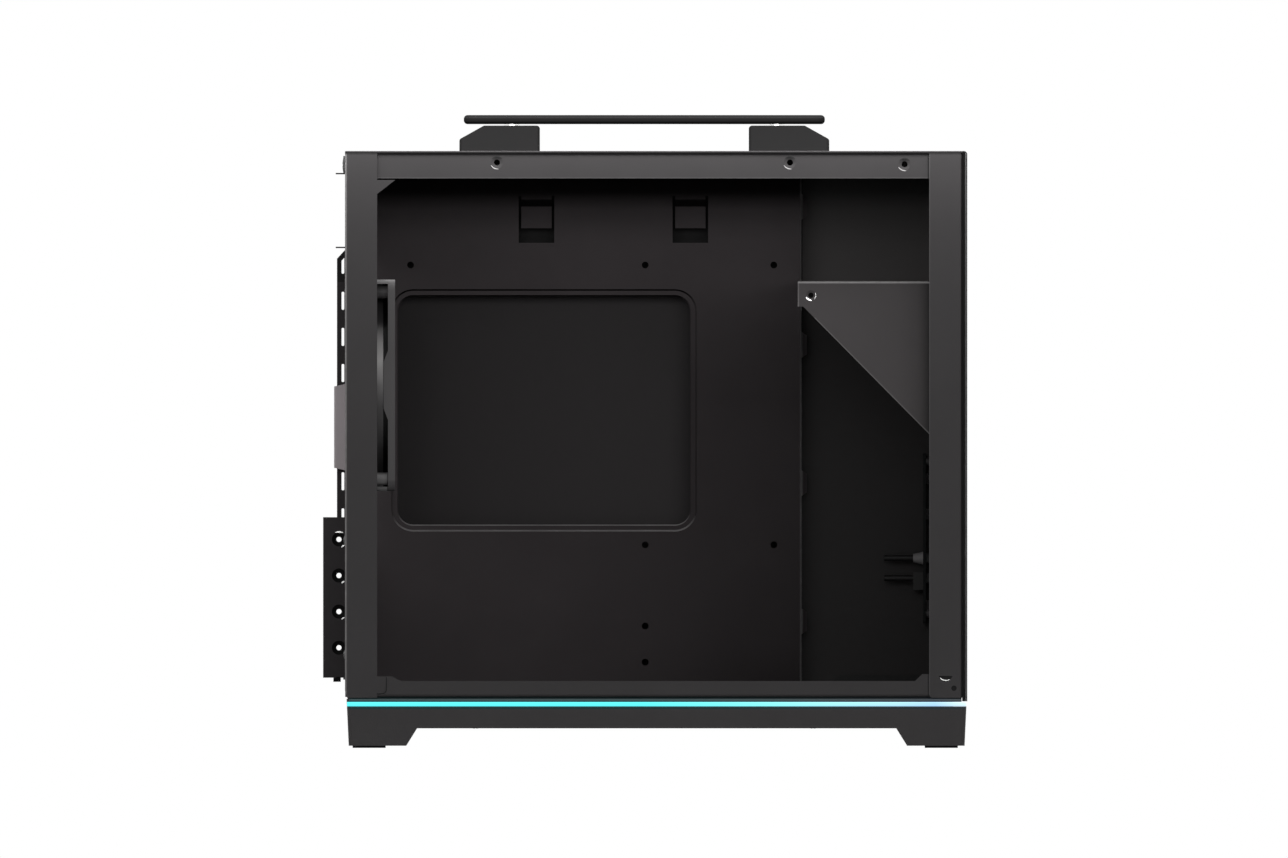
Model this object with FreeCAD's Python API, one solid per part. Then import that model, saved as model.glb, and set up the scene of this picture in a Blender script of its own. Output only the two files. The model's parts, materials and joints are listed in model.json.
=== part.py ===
import FreeCAD, Part
import os
from math import cos, pi, sin, sqrt, tan
from FreeCAD import Vector

# Small open-sided tower case: folded steel chassis, glass front, plastic plinth
# with a light strip, carrying handle. Millimetres, +X to the front of the case,
# +Y to its closed side, +Z up. The origin is under the middle of the whole box.

# Sheet metal and panes
sheet = 1.0              # chassis sheet
panel_sheet = 0.8        # closed side panel, slot covers and inlet plate
cover_sheet = 1.2        # top cover
bend = 0.6               # inside radius of a bend
glass_thickness = 2.9
glass_edge = 0.7         # ground edge of the glass
fit_gap = 0.3            # room round pieces that are put in last

# Standards that the case is built around
slot_pitch = 20.32
slot_count = 4
slot_length = 106.0      # opening of one expansion slot
slot_opening = 12.4
slot_screw_rise = 7.6    # slot screw above the slot's middle
slot_screw_out = 5.6     # and behind the rear sheet
io_width = 44.4          # board's connector window, across
io_height = 158.75       # and up
fan_size = 119.0
fan_thickness = 25.0
fan_hole_pitch = 105.0
board_rear_gap = 10.86   # first column of board holes from the rear sheet
board_columns = (0.0, 22.86, 154.94, 227.33)
board_rows = (0.0, 157.48, 203.2, 223.52)
board_hole = 1.9         # radius
psu_width = 150.0
psu_depth = 86.0
psu_edge = 6.0           # its screws from the edges
psu_odd_rise = 10.0      # third screw further up its side
psu_odd_shift = 24.0     # fourth screw further along
psu_hole = 2.0           # radius

# Lengths from rear to front
slot_reach = 12.3        # slot clamp behind the posts
rear_recess = 2.2        # rear sheet set in from the rear edge
tray_length = 253.8
psu_bay_length = 89.4
rear_post = 18.1
front_post = 18.5
right_post = 16.0

# Widths from the open side to the closed side
rim_flat = 4.0           # flat rim beside the open side's post
fan_margin = 1.8
fan_io_gap = 8.8
io_to_tray = 4.8
cable_space = 22.2       # between the tray and the closed side's posts

# Heights from the ground up
pad_height = 1.2
base_height = 26.4
shadow_gap = 1.05        # dark joint between plinth and chassis
slot_floor_gap = 19.15   # floor to the middle of the lowest slot
slot_io_gap = 10.94      # top slot's middle to the connector window
io_inlet_gap = 1.85
inlet_plate_height = 42.35
inlet_roof_gap = 10.15
bottom_rail = 9.0
rear_rail_ear = (8.5, 4.7, 2.6)    # raised ends of the bottom rail: flat beyond the post, slope, rise
front_rail_ear = (4.0, 4.0, 3.9)
far_rail_rise = 3.4      # closed side's rail in the front chamber
far_rail_length = 68.0
top_rail = 14.2
post_drop = 0.45         # open side's posts below the floor's underside
post_taper = (1.2, 4.0)  # rear post's lower corner

# Rear sheet
fan_above_io = 83.4      # fan axis above the connector window's lower edge
grille_radius = 54.0
grille_cell = 9.6        # pitch of the hexagon holes
grille_hole = 4.3        # hexagon's corner radius
fan_screw_hole = 2.3
shelf_setback = 5.2      # slot shelf beyond the connector window's side, past a slot
slot_wall = 3.2          # rear sheet between shelf and slots
shelf_under = 9.3        # shelf below the lowest slot's middle
shelf_over = 20.1        # and above the top slot's middle
shelf_short = 0.4        # shelf shorter than the clamp that covers it
slot_thread = 1.45
tab_width = 18.4
tab_window = 16.0        # opening that the slot covers' tabs come out of
cover_lap = 1.6          # slot cover beyond the end of its slot
cover_tongue = 4.4
cover_tongue_width = 9.0
cover_slit = (26.0, 3.2)
clamp_leaf = 26.0
clamp_dimple = 4.0       # radius round each of its holes
clamp_tongue = (4.2, 2.3)
post_ear = (10.2, 7.9)   # triangular ear under the top rail
post_ear_gap = 0.9
foot_ear = (4.8, 1.7, 11.6)  # ear beside the bottom rail: length, low, high
foot_ear_corner = 3.5
post_corner = 2.0

# Mains inlet at the rear
inlet_plate_width = 58.0
inlet_lip = 7.4          # lips behind the rear sheet
inlet_body = (27.2, 19.8)
inlet_depth = 16.0
inlet_socket_hole = (24.2, 16.8)
inlet_socket_depth = 16.0
inlet_flange = (50.0, 23.0, 1.2)
inlet_screw_pitch = 40.0
inlet_pin = (2.0, 4.0, 13.0)
inlet_pin_pitch = 7.0

# Board tray
board_row_drop = 7.65    # top row of board holes below the window's upper edge
cooler_cut = (26.7, 191.0)   # cooler opening's ends from the rear sheet
cooler_cut_height = 128.6
cooler_cut_drop = 17.5   # below the top row of board holes
cooler_rim = 3.9         # ledge round the opening, drawn back from the tray's face
cooler_draw = 1.2        # how far the ledge lies back
cooler_step = 0.9        # width of the slope down to it
cooler_bevel = 0.6       # broken edge of the opening
cooler_corner = 8.5
collar = (2.9, 1.2)      # thread collar behind a board hole
pass_places = (94.6, 181.2)  # cable passes from the rear sheet
pass_size = (20.0, 26.4)
pass_above_board = 12.5  # above the top row of board holes
tab_gap = 1.4
tab_back = 4.0           # hanging tab set behind the tray
tab_drop = 18.2
tray_flange = 13.0
edge_tab = (3.0, 14.7, 2.0)  # tabs on the tray's front flange: out, long, slope
edge_tab_pitch = 77.8
edge_tab_count = 4
edge_tab_low = 41.6      # lowest one above the floor

# Power supply bracket
gusset_inset = 33.0      # behind the open side
psu_shelf_rise = 233.2   # above the floor sheet
shelf_overhang = 2.1     # over the tray's front edge
shelf_to_tray = 1.0
gusset_tab = 14.4        # straight part at the rear of the gusset
gusset_tab_length = 3.0
gusset_foot = 104.0      # gusset's height at the front
bracket_flange = 12.0
bracket_hole = (7.4, 8.1, 1.5)  # from the shelf's rear corner, and radius
bracket_hole_edge = 2.8

# Front
front_side = 38.0        # front web beside its window
front_top = 44.0
front_bottom = 42.0
glass_crown = 2.0        # rounded upper edge of the glass
strip_width = 25.5       # connector strip
strip_joint = 0.5
half_moon = (9.3, 3.2, 12.1)  # cut in the front post: in from the front, radius, above its foot
post_hole = (4.6, 5.4, 1.4)  # small hole: in from the front, above its foot, radius

# Front connectors
board_setback = 21.0     # connector board behind the front web
board_sheet = 1.6
board_span = (40.5, 136.0)   # connector board's ends above the floor
board_inset = 2.2
lead_rise = (77.2, 65.9)     # ports and leads above the floor
button_rise = (122.0, 102.0)
jack_rise = 49.0
button_radius = (7.0, 2.6)
button_rim = 1.5
button_rim_thickness = 1.6
button_travel = 1.2
button_gap = 0.25
button_flush = 0.1
button_stem = (2.5, 1.6)
switch_height = 2.4
switch_size = 6.0
port_size = (13.2, 5.8)
port_wall = 0.45
port_depth = 12.0
port_tongue = (11.0, 1.8)
port_flush = 0.4
jack_radius = 3.0
jack_bore = 1.8
jack_bore_depth = 14.0
jack_body = (8.0, 9.0)
boss_radius = 2.4
boss_rise = (46.0, 131.5)
lead_radius = 1.75
lead_length = 16.3
relief_radius = (2.3, 3.7)
relief_length = 5.6
header_size = (11.0, 11.0, 6.0)

# Side panel
lip_out = 5.9            # rear lip behind the panel's edge
lip_rise = 151.9         # its grip's middle above the floor
lip_reach = (60.5, 101.3)    # lip's ends below and above the grip's middle
lip_chamfer = 6.5
lip_slot = (1.5, 10.1, 0.6)  # slots in the lip: across, up, corner
lip_slot_inset = 1.8     # from the panel's edge
lip_slot_count = 8
lip_slot_lead = 4.5      # top slot above the grip's middle, in slot pitches
lip_edge = 4.0           # metal kept above and below the slots
grip_out = 1.6
grip_length = 49.2
grip_depth = 8.0
grip_chamfer = 1.7
panel_tab = (14.0, 40.0)
panel_screw_inset = (5.9, 6.7)   # above the floor's rail and below the top cover
panel_head = (4.9, 2.4)

# Plinth, feet and light strip
base_inset_rear = 0.9
base_inset_front = 0.3
base_inset_side = 0.6
base_draft = 1.2
base_corner = 3.0
base_beam = 26.0
base_wall = 3.0
base_roof = 5.9          # plinth above its hollow underside
seat_inset = 4.0         # raised seat that carries the chassis, from the sides
seat_end_inset = 0.5     # and from the ends
arch_height = 9.8        # underside between the feet above their soles
foot_length = 32.4
foot_slope = 6.1
strip_drop = 1.7         # light strip below the plinth's top
strip_height = 2.6
strip_depth = 6.0
strip_inset = 0.25
led_sheet = 1.2
pad_length = 18.6
pad_inset = 3.4          # from the soles' sides
pad_end_inset = (2.2, 3.85)  # from their rear and front ends
pad_sunk = 1.0
pad_corner = 2.5
base_screw_x = 95.0
base_boss = 6.0

# Handle
handle_x = -0.5
bar_length = 203.2
bar_width = 26.0
bar_thickness = 5.1
bar_corner = 5.0
support_beyond = 2.5     # supports reach past the bar's ends
support_length = 45.3
support_width = 30.0
support_height = 14.3
support_lead = 13.8      # sloped outer end
support_outer = 6.6      # height of the outer end
support_edge = 1.9
support_peg = (2.0, 14.0)    # locating pegs: radius and distance from the screw
bar_gap = 0.8            # bar over the supports, held off by a washer
bar_washer = 4.5
bar_screw_depth = 3.4

# Covers and vents
roof_window = (118.0, 72.0, 8.0)   # half length, half width, corner
vent_slit = 4.2
vent_pitch = 9.0
vent_row = (24.0, 84.0)  # slots from the middle line
vent_length = 236.0
floor_vent = (52.0, 8.0) # slots in the floor: length and pitch
floor_vent_span = 70.0
rail_sockets = ((-83.4, 5.3), (81.5, 5.3), (146.0, 6.3))  # along, and below the rail's upper edge
rail_socket = (3.4, 1.7, 0.5)    # dimple radius, hole radius and dimple depth
filter_sheet = 0.6       # dust filter under the cover's slots

# Fan
fan_flange = 4.0
fan_corner = 6.0
fan_bore = 57.6          # inner radius of the ring
fan_wall = 1.7
fan_post = 3.6           # round posts between the flanges, at the screws
fan_lug = (2.4, 22.0)    # walled corners above and below: height and length
fan_rib = (2.5, 19.5, 6.5)   # stiffer middle of a side: deep, half length, slope
fan_hub = 20.0
fan_hub_wall = 1.6
fan_hub_gap = 0.8
fan_base = 21.0
fan_base_thickness = 3.0
fan_strut = 4.5
fan_strut_count = 4
fan_tube = 4.4
fan_shaft = 1.5
shaft_gap = 0.05
blade_count = 9
blade_tip_gap = 1.2
blade_root_chord = 15.0
blade_tip_chord = 30.0
blade_root_pitch = 0.85  # radians from the plane of the fan
blade_tip_pitch = 0.5
blade_thickness = 1.7
blade_camber = 2.2
rotor_front = 2.0        # hub set in from the fan's inner face
stator_radius = 15.5

# Fasteners: head radius, head height, shank radius
fan_screw = (3.9, 1.9, 2.2)
small_screw = (2.9, 1.6, 1.4)
panel_screw_shank = 1.5
base_screw = (3.8, 2.5, 2.0)
handle_screw = (4.0, 2.4, 2.0)
hole_gap = 0.1           # hole wider than its screw

# Datum faces worked out from the sizes above
case_depth = rear_recess + sheet + tray_length + psu_bay_length + sheet + glass_thickness
x_rear = -(case_depth - slot_reach) / 2
x_front = x_rear + case_depth
x_web = x_rear + rear_recess
x_in_rear = x_web + sheet
x_tray_front = x_in_rear + tray_length
x_in_front = x_tray_front + psu_bay_length
x_skin = x_in_front + sheet

fan_side = rim_flat + rear_recess + fan_margin
tray_side = fan_side + fan_size + fan_io_gap + io_width + io_to_tray
case_width = tray_side + sheet + cable_space + sheet + panel_sheet
y_open = -case_width / 2
y_closed = case_width / 2
y_right = y_closed - panel_sheet
y_rail = (y_open + sheet, y_right - sheet)
y_tray = y_open + tray_side
y_fan = y_open + fan_side + fan_size / 2
y_io = y_tray - io_to_tray - io_width

z_base_top = pad_height + base_height
z_floor = z_base_top + shadow_gap
z_in_floor = z_floor + sheet
z_slot_low = z_in_floor + slot_floor_gap
z_slot_top = z_slot_low + (slot_count - 1) * slot_pitch
z_io = z_slot_top + slot_io_gap
z_io_top = z_io + io_height
z_inlet = z_io_top + io_inlet_gap
z_inlet_top = z_inlet + inlet_plate_height
z_in_roof = z_inlet_top + inlet_roof_gap
z_under_cover = z_in_roof + sheet
z_top = z_under_cover + cover_sheet
z_fan = z_io + fan_above_io
z_rail = z_floor + bottom_rail
z_top_rail = z_under_cover - top_rail

x_board = x_in_rear + board_rear_gap
z_board = z_io_top - board_row_drop
y_shelf = y_tray - io_to_tray - slot_length - shelf_setback
x_shelf = x_rear - slot_reach + shelf_short
z_shelf = (z_slot_low - shelf_under, z_slot_top + shelf_over)
y_inlet = y_io + io_width / 2
y_strip = y_closed - strip_width
y_connectors = (y_strip + y_closed) / 2
x_board_back = x_in_front - board_setback
x_board_face = x_board_back + board_sheet
z_strip = z_base_top - strip_drop
z_glass = (z_strip + fit_gap, z_top)

nodes = {}


# Shapes that the pieces are made from

def at(axis, along, u, v):
    """Point at a distance along an axis, with the other two coordinates u and v in order."""
    if axis == "x":
        return Vector(along, u, v)
    if axis == "y":
        return Vector(u, along, v)
    return Vector(u, v, along)


def block(x, y, z):
    """Box between three pairs of low and high values."""
    return Part.makeBox(x[1] - x[0], y[1] - y[0], z[1] - z[0], Vector(x[0], y[0], z[0]))


def prism(axis, outline, start, end):
    """Closed outline of (u, v) points carried along an axis."""
    points = [at(axis, start, u, v) for u, v in outline]
    return Part.Face(Part.makePolygon(points + points[:1])).extrude(at(axis, end - start, 0, 0))


def rod(axis, centre, radius, start, end):
    """Round bar along an axis."""
    return Part.makeCylinder(radius, end - start, at(axis, start, *centre), at(axis, 1, 0, 0))


def cone(axis, centre, start_radius, end_radius, start, end):
    """Tapered round bar along an axis."""
    direction = at(axis, 1, 0, 0)
    return Part.makeCone(start_radius, end_radius, end - start, at(axis, start, *centre), direction)


def round_wire(axis, u, v, radius, station):
    """Rectangle with round corners, drawn across an axis."""
    centres = ((u[1] - radius, v[1] - radius), (u[0] + radius, v[1] - radius),
               (u[0] + radius, v[0] + radius), (u[1] - radius, v[0] + radius))
    arcs = []
    for quarter, (cu, cv) in enumerate(centres):
        turns = [(quarter + half / 2) * pi / 2 for half in range(3)]
        points = [at(axis, station, cu + radius * cos(t), cv + radius * sin(t)) for t in turns]
        arcs.append(Part.Arc(*points).toShape())
    loop = []
    for arc, following in zip(arcs, arcs[1:] + arcs[:1]):
        loop.append(arc)
        gap = (arc.Vertexes[-1].Point, following.Vertexes[0].Point)
        if gap[0].distanceToPoint(gap[1]) > 1e-6:
            loop.append(Part.makeLine(*gap))
    return Part.Wire(loop)


def rounded(axis, u, v, radius, start, end):
    """Rectangle with round corners carried along an axis."""
    face = Part.Face(round_wire(axis, u, v, radius, start))
    return face.extrude(at(axis, end - start, 0, 0))


def about(centre, size):
    """Low and high value of a size about its middle."""
    return (centre - size / 2, centre + size / 2)


def grown(outline, amount):
    """Rectangle with round corners, as (u, v, radius), moved outward on every side."""
    u, v, radius = outline
    return (u[0] - amount, u[1] + amount), (v[0] - amount, v[1] + amount), radius + amount


def bent_path(axis, station, points, radii):
    """Edges of an open path of flat points, each inner corner rounded by its radius."""
    def put(point):
        return at(axis, station, point.x, point.y)

    edges = []
    here = points[0]
    for before, corner, after, radius in zip(points, points[1:], points[2:], radii):
        back = (before - corner).normalize()
        ahead = (after - corner).normalize()
        half = back.getAngle(ahead) / 2
        middle = corner + (back + ahead).normalize() * (radius / sin(half) - radius)
        start = corner + back * (radius / tan(half))
        end = corner + ahead * (radius / tan(half))
        edges.append(Part.makeLine(put(here), put(start)))
        edges.append(Part.Arc(put(start), put(middle), put(end)).toShape())
        here = end
    edges.append(Part.makeLine(put(here), put(points[-1])))
    return edges


def folded(axis, path, thickness, start, end):
    """Sheet bent along a path of (u, v) points, with its metal to the right of the path."""
    outer = [Vector(u, v, 0) for u, v in path]
    runs = [(b - a).normalize() for a, b in zip(outer, outer[1:])]
    sides = [Vector(run.y, -run.x, 0) for run in runs]
    inner = [outer[0] + sides[0] * thickness]
    outer_radii = []
    inner_radii = []
    for corner, run, side, next_side in zip(outer[1:], runs, sides, sides[1:]):
        inner.append(corner + (side + next_side) * (thickness / (1 + side.dot(next_side))))
        metal_inside = run.dot(next_side) < 0
        outer_radii.append(bend + thickness if metal_inside else bend)
        inner_radii.append(bend if metal_inside else bend + thickness)
    inner.append(outer[-1] + sides[-1] * thickness)
    edges = bent_path(axis, start, outer, outer_radii)
    edges.append(Part.makeLine(at(axis, start, outer[-1].x, outer[-1].y),
                               at(axis, start, inner[-1].x, inner[-1].y)))
    edges += bent_path(axis, start, inner[::-1], inner_radii[::-1])
    edges.append(Part.makeLine(at(axis, start, inner[0].x, inner[0].y),
                               at(axis, start, outer[0].x, outer[0].y)))
    return Part.Face(Part.Wire(edges)).extrude(at(axis, end - start, 0, 0))


def frustum(axis, near, far, start, end):
    """Solid that runs from one rectangle with round corners to another, each (u, v, radius)."""
    return Part.makeLoft([round_wire(axis, *near, start), round_wire(axis, *far, end)], True, True)


def joined(shapes):
    """One solid from pieces that touch."""
    return shapes[0].multiFuse(shapes[1:]).removeSplitter()


def along(shape, axis):
    """Straight edges of a shape that run along an axis."""
    direction = at(axis, 1, 0, 0)
    chosen = []
    for edge in shape.Edges:
        run = edge.Vertexes[-1].Point - edge.Vertexes[0].Point
        if run.Length > 1e-6 and abs(run.normalize().dot(direction)) > 0.999:
            chosen.append(edge)
    return chosen


def edges_at(shape, axis, place):
    """Edges that lie wholly in the plane across an axis at a place."""
    index = "xyz".index(axis)
    return [e for e in shape.Edges if all(abs(v.Point[index] - place) < 1e-4 for v in e.Vertexes)]


def screw(axis, centre, head, shank, top, seat, tip):
    """Pan-head screw: a head between top and seat, a shank between seat and tip."""
    low, high = sorted((top, seat))
    cap = rod(axis, centre, head, low, high)
    cap = cap.makeChamfer((high - low) * 0.35, edges_at(cap, axis, top))
    low, high = sorted((seat, tip))
    return joined([cap, rod(axis, centre, shank, low, high)])


def flat_screw(axis, centre, head, shank, face, seat, tip):
    """Countersunk screw: a cone between face and seat, a shank on to the tip."""
    return joined([cone(axis, centre, head, shank, face, seat), rod(axis, centre, shank, seat, tip)])


def spread(low, high, pitch):
    """Places a pitch apart, as many as fit, centred between two limits."""
    count = int((high - low) / pitch)
    return [(low + high) / 2 + (k - (count - 1) / 2) * pitch for k in range(count)]


def slits(axis, places, v, width, start, end):
    """Row of round-ended slots, each lying along v."""
    corner = width * 0.48
    return [rounded(axis, about(u, width), v, corner, start, end) for u in places]


def slot_middles():
    """Heights of the expansion slots' middles, lowest first."""
    return [z_slot_low + k * slot_pitch for k in range(slot_count)]


def fan_corners():
    """The four fan screws as (y, z)."""
    reach = fan_hole_pitch / 2
    return [(y_fan + a * reach, z_fan + b * reach) for a in (-1, 1) for b in (-1, 1)]


def clamp_holes():
    """The slot clamp's two screws as (y, z)."""
    y = y_shelf - panel_sheet - (tab_window + clamp_leaf) / 2
    return [(y, z_shelf[0] + clamp_leaf / 2), (y, z_shelf[1] - clamp_leaf / 2)]


def panel_holes():
    """The side panel's two screws as (y, z)."""
    y = y_right - panel_tab[0] / 2
    return [(y, z_rail + panel_screw_inset[0]), (y, z_under_cover - panel_screw_inset[1])]


def inlet_holes():
    """The mains inlet's two screws as (y, z)."""
    middle = (z_inlet + z_inlet_top) / 2
    return [(y_inlet + side * inlet_screw_pitch / 2, middle) for side in (-1, 1)]


# Chassis sheets

def hexagon_grille():
    """Hexagon holes in staggered rows inside the fan's circle."""
    row_pitch = grille_cell * sqrt(3) / 2
    reach = int(grille_radius / row_pitch)
    holes = []
    for row in range(-reach, reach + 1):
        for column in range(-reach - 1, reach + 2):
            y = (column + (row % 2) / 2) * grille_cell
            z = row * row_pitch
            if y * y + z * z < (grille_radius - grille_hole) ** 2:
                corners = [(y_fan + y + grille_hole * sin(k * pi / 3),
                            z_fan + z + grille_hole * cos(k * pi / 3)) for k in range(6)]
                holes.append(prism("x", corners, x_web - sheet, x_in_rear + sheet))
    return holes


def make_rear_panel():
    """Rear sheet with its post, rim, grille, connector window, slots and slot shelf."""
    path = [(x_rear + rear_post, y_open), (x_rear, y_open), (x_rear, y_open + rim_flat),
            (x_web, y_open + rim_flat + rear_recess), (x_web, y_right), (x_web + right_post, y_right)]
    skin = folded("z", path, sheet, z_floor, z_under_cover)
    foot = folded("z", path[:3], sheet, z_floor - post_drop, z_floor)
    x_post = x_rear + rear_post
    ear_top = z_top_rail - post_ear_gap
    upper_ear = prism("y", [(x_post - sheet, ear_top), (x_post + post_ear[0], ear_top),
                            (x_post, ear_top - post_ear[1]), (x_post - sheet, ear_top - post_ear[1])],
                      y_open, y_open + sheet)
    ear_low = z_floor + foot_ear[1]
    lower_ear = block((x_post - sheet, x_post + foot_ear[0]), (y_open, y_open + sheet),
                      (ear_low, z_floor + foot_ear[2]))
    corner = [e for e in along(lower_ear, "y") if e.CenterOfMass.x > x_post
              and e.CenterOfMass.z < ear_low + sheet]
    lower_ear = lower_ear.makeFillet(foot_ear_corner, corner)
    shelf = block((x_shelf, x_web), (y_shelf, y_shelf + sheet), z_shelf)
    skin = joined([skin, foot, upper_ear, lower_ear, shelf])

    front, back = x_web - sheet, x_in_rear + sheet
    window_z = (z_slot_low - tab_width / 2 - fit_gap, z_slot_top + tab_width / 2 + fit_gap)
    cuts = hexagon_grille()
    heel = z_floor - post_drop
    cuts.append(prism("y", [(x_rear - sheet, heel - sheet), (x_rear + post_taper[0], heel - sheet),
                            (x_rear + post_taper[0], heel), (x_rear, heel + post_taper[1]),
                            (x_rear - sheet, heel + post_taper[1])], y_open - sheet, y_open + rim_flat))
    cuts.append(rounded("x", (y_io, y_io + io_width), (z_io, z_io_top), bend, front, back))
    cuts.append(block((front, back), (y_shelf - tab_window, y_shelf), window_z))
    cuts.append(prism("z", [(x_in_rear, y_shelf), (x_in_rear - bend, y_shelf), (x_in_rear, y_shelf + bend)],
                      *window_z))
    slot_start = y_shelf + slot_wall
    for middle in slot_middles():
        cuts.append(block((front, back), (slot_start, slot_start + slot_length), about(middle, slot_opening)))
        hole = (x_web - slot_screw_out, middle + slot_screw_rise)
        cuts.append(rod("y", hole, slot_thread, y_shelf - sheet, y_shelf + 2 * sheet))
    cuts += [rod("x", place, fan_screw_hole, front, back) for place in fan_corners()]
    cuts += [rod("x", place, small_screw[2] + hole_gap, front, back) for place in clamp_holes()]
    cuts += [rod("x", place, panel_screw_shank + hole_gap, front, back) for place in panel_holes()]
    cuts += [rod("x", place, small_screw[2] + hole_gap, front, back) for place in inlet_holes()]
    inlet_middle = (z_inlet + z_inlet_top) / 2
    cuts.append(block((front, back), about(y_inlet, inlet_body[0] + fit_gap),
                      about(inlet_middle, inlet_body[1] + fit_gap)))
    return skin.cut(cuts)


def make_bottom_panel():
    """Floor with a rail along each side and an upturned edge at each end."""
    ear_z = z_rail + max(rear_rail_ear[2], front_rail_ear[2])
    far_z = z_rail + far_rail_rise
    path = [(y_rail[1], far_z), (y_rail[1], z_floor), (y_rail[0], z_floor), (y_rail[0], ear_z)]
    pan = folded("x", path, sheet, x_in_rear, x_in_front)
    flat, slope, rise = rear_rail_ear
    start = x_rear + rear_post + flat
    lowered = [(x_in_rear - sheet, ear_z + sheet), (x_in_rear - sheet, z_rail + rise), (start, z_rail + rise),
               (start + slope, z_rail)]
    flat, slope, rise = front_rail_ear
    end = x_skin - front_post - flat
    lowered += [(end - slope, z_rail), (end, z_rail + rise), (x_in_front + sheet, z_rail + rise),
                (x_in_front + sheet, ear_z + sheet)]
    cuts = [prism("y", lowered, y_open, y_rail[0] + 2 * sheet)]
    far_start = x_in_front - far_rail_length
    far_cut = [(x_in_rear - sheet, far_z + sheet), (x_in_rear - sheet, z_rail),
               (far_start - far_rail_rise, z_rail), (far_start, far_z), (far_start, far_z + sheet)]
    cuts.append(prism("y", far_cut, y_rail[1] - 2 * sheet, y_right))
    inside = (y_rail[0] + sheet + bend, y_tray - fit_gap)
    upturn = (z_floor, z_rail)
    pan = joined([pan.cut(cuts),
                  block((x_in_rear, x_in_rear + sheet), inside, upturn),
                  block((x_in_front - sheet, x_in_front), inside, upturn)])
    vents = spread(x_tray_front - floor_vent_span, x_in_front - floor_vent[1], floor_vent[1])
    holes = []
    for row in (-1, 1):
        span = about(row * (floor_vent[0] / 2 + floor_vent[1]), floor_vent[0])
        holes += slits("z", vents, span, vent_slit, z_floor - sheet, z_in_floor + sheet)
    holes += [rod("z", place, base_screw[2] + hole_gap, z_floor - sheet, z_in_floor + sheet)
              for place in base_screw_places()]
    return pan.cut(holes)


def make_top_frame():
    """Roof sheet with a wide window and a rail down each side."""
    path = [(y_rail[0], z_top_rail), (y_rail[0], z_under_cover),
            (y_rail[1], z_under_cover), (y_rail[1], z_top_rail)]
    roof = folded("x", path, sheet, x_in_rear, x_in_front)
    cuts = [rounded("z", about(handle_x, 2 * roof_window[0]), about(0, 2 * roof_window[1]), roof_window[2],
                    z_in_roof - sheet, z_under_cover + sheet)]
    dimple, hole, depth = rail_socket
    for x, drop in rail_sockets:
        centre = (x, z_under_cover - drop)
        cuts.append(cone("y", centre, dimple, hole, y_rail[0], y_rail[0] + depth))
        cuts.append(rod("y", centre, hole, y_open, y_rail[0] + 2 * sheet))
    return roof.cut(cuts)


def make_top_cover():
    """Flat cover over the roof, with slots beside the handle."""
    plate = block((x_rear, x_skin), (y_open, y_closed), (z_under_cover, z_top))
    plate = plate.makeFillet(cover_sheet * 0.4, edges_at(plate, "z", z_top) + along(plate, "z"))
    low, high = z_under_cover - sheet, z_top + sheet
    places = spread(handle_x - vent_length / 2, handle_x + vent_length / 2, vent_pitch)
    cuts = []
    for side in (-1, 1):
        row = sorted((side * vent_row[0], side * vent_row[1]))
        cuts += slits("z", places, row, vent_slit, low, high)
    for x in support_screws():
        cuts.append(rod("z", (x, 0), handle_screw[2] + hole_gap, low, high))
        for side in (-1, 1):
            cuts.append(rod("z", (x + side * support_peg[1], 0), support_peg[0] + hole_gap, low, high))
    return plate.cut(cuts)


def make_roof_filter():
    """Dust filter in the roof's window, against the cover's underside."""
    half_length, half_width, corner = roof_window
    plate = rounded("z", about(handle_x, 2 * (half_length - fit_gap)), about(0, 2 * (half_width - fit_gap)),
                    corner - fit_gap, z_under_cover - filter_sheet, z_under_cover)
    heads = [rod("z", (x, 0), handle_screw[0] + fit_gap, z_in_roof, z_top) for x in support_screws()]
    return plate.cut(heads)


def make_front_frame():
    """Front web between two posts, open in the middle and at the connectors."""
    x_post = x_skin - front_post
    path = [(x_post, y_right), (x_skin, y_right), (x_skin, y_open), (x_post, y_open)]
    low = z_floor - post_drop
    skin = folded("z", path, sheet, z_floor, z_under_cover)
    foot = folded("z", [(x_skin, y_open + rim_flat)] + path[2:], sheet, low, z_floor)
    skin = joined([skin, foot])
    toe = [e for e in along(skin, "y") if e.Length < 2 * sheet and abs(e.Vertexes[0].Z - low) < 1e-4]
    skin = skin.makeFillet(post_corner, toe)
    front, back = x_in_front - sheet, x_skin + sheet
    cuts = [rounded("x", (y_open + front_side, y_strip - front_side / 2),
                    (z_in_floor + front_bottom, z_in_roof - front_top), roof_window[2], front, back),
            rounded("x", (y_strip + board_inset - fit_gap, y_right - sheet - fit_gap),
                    (z_in_floor + board_span[0] - fit_gap, z_in_floor + board_span[1] + fit_gap),
                    bend, front, back)]
    inward, radius, rise = half_moon
    moon = rod("y", (x_skin - inward, low + rise), radius, y_open - sheet, y_open + 2 * sheet)
    below = block((x_in_front - front_post, x_skin), (y_open - sheet, y_open + 2 * sheet), (low, low + rise))
    cuts.append(moon.common(below))
    cuts.append(rod("y", (x_skin - post_hole[0], low + post_hole[1]), post_hole[2], y_open - sheet,
                    y_open + 2 * sheet))
    cuts += [rod("x", place, small_screw[2] + hole_gap, front, back) for place in bracket_screw_places()]
    return skin.cut(cuts)


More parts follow.
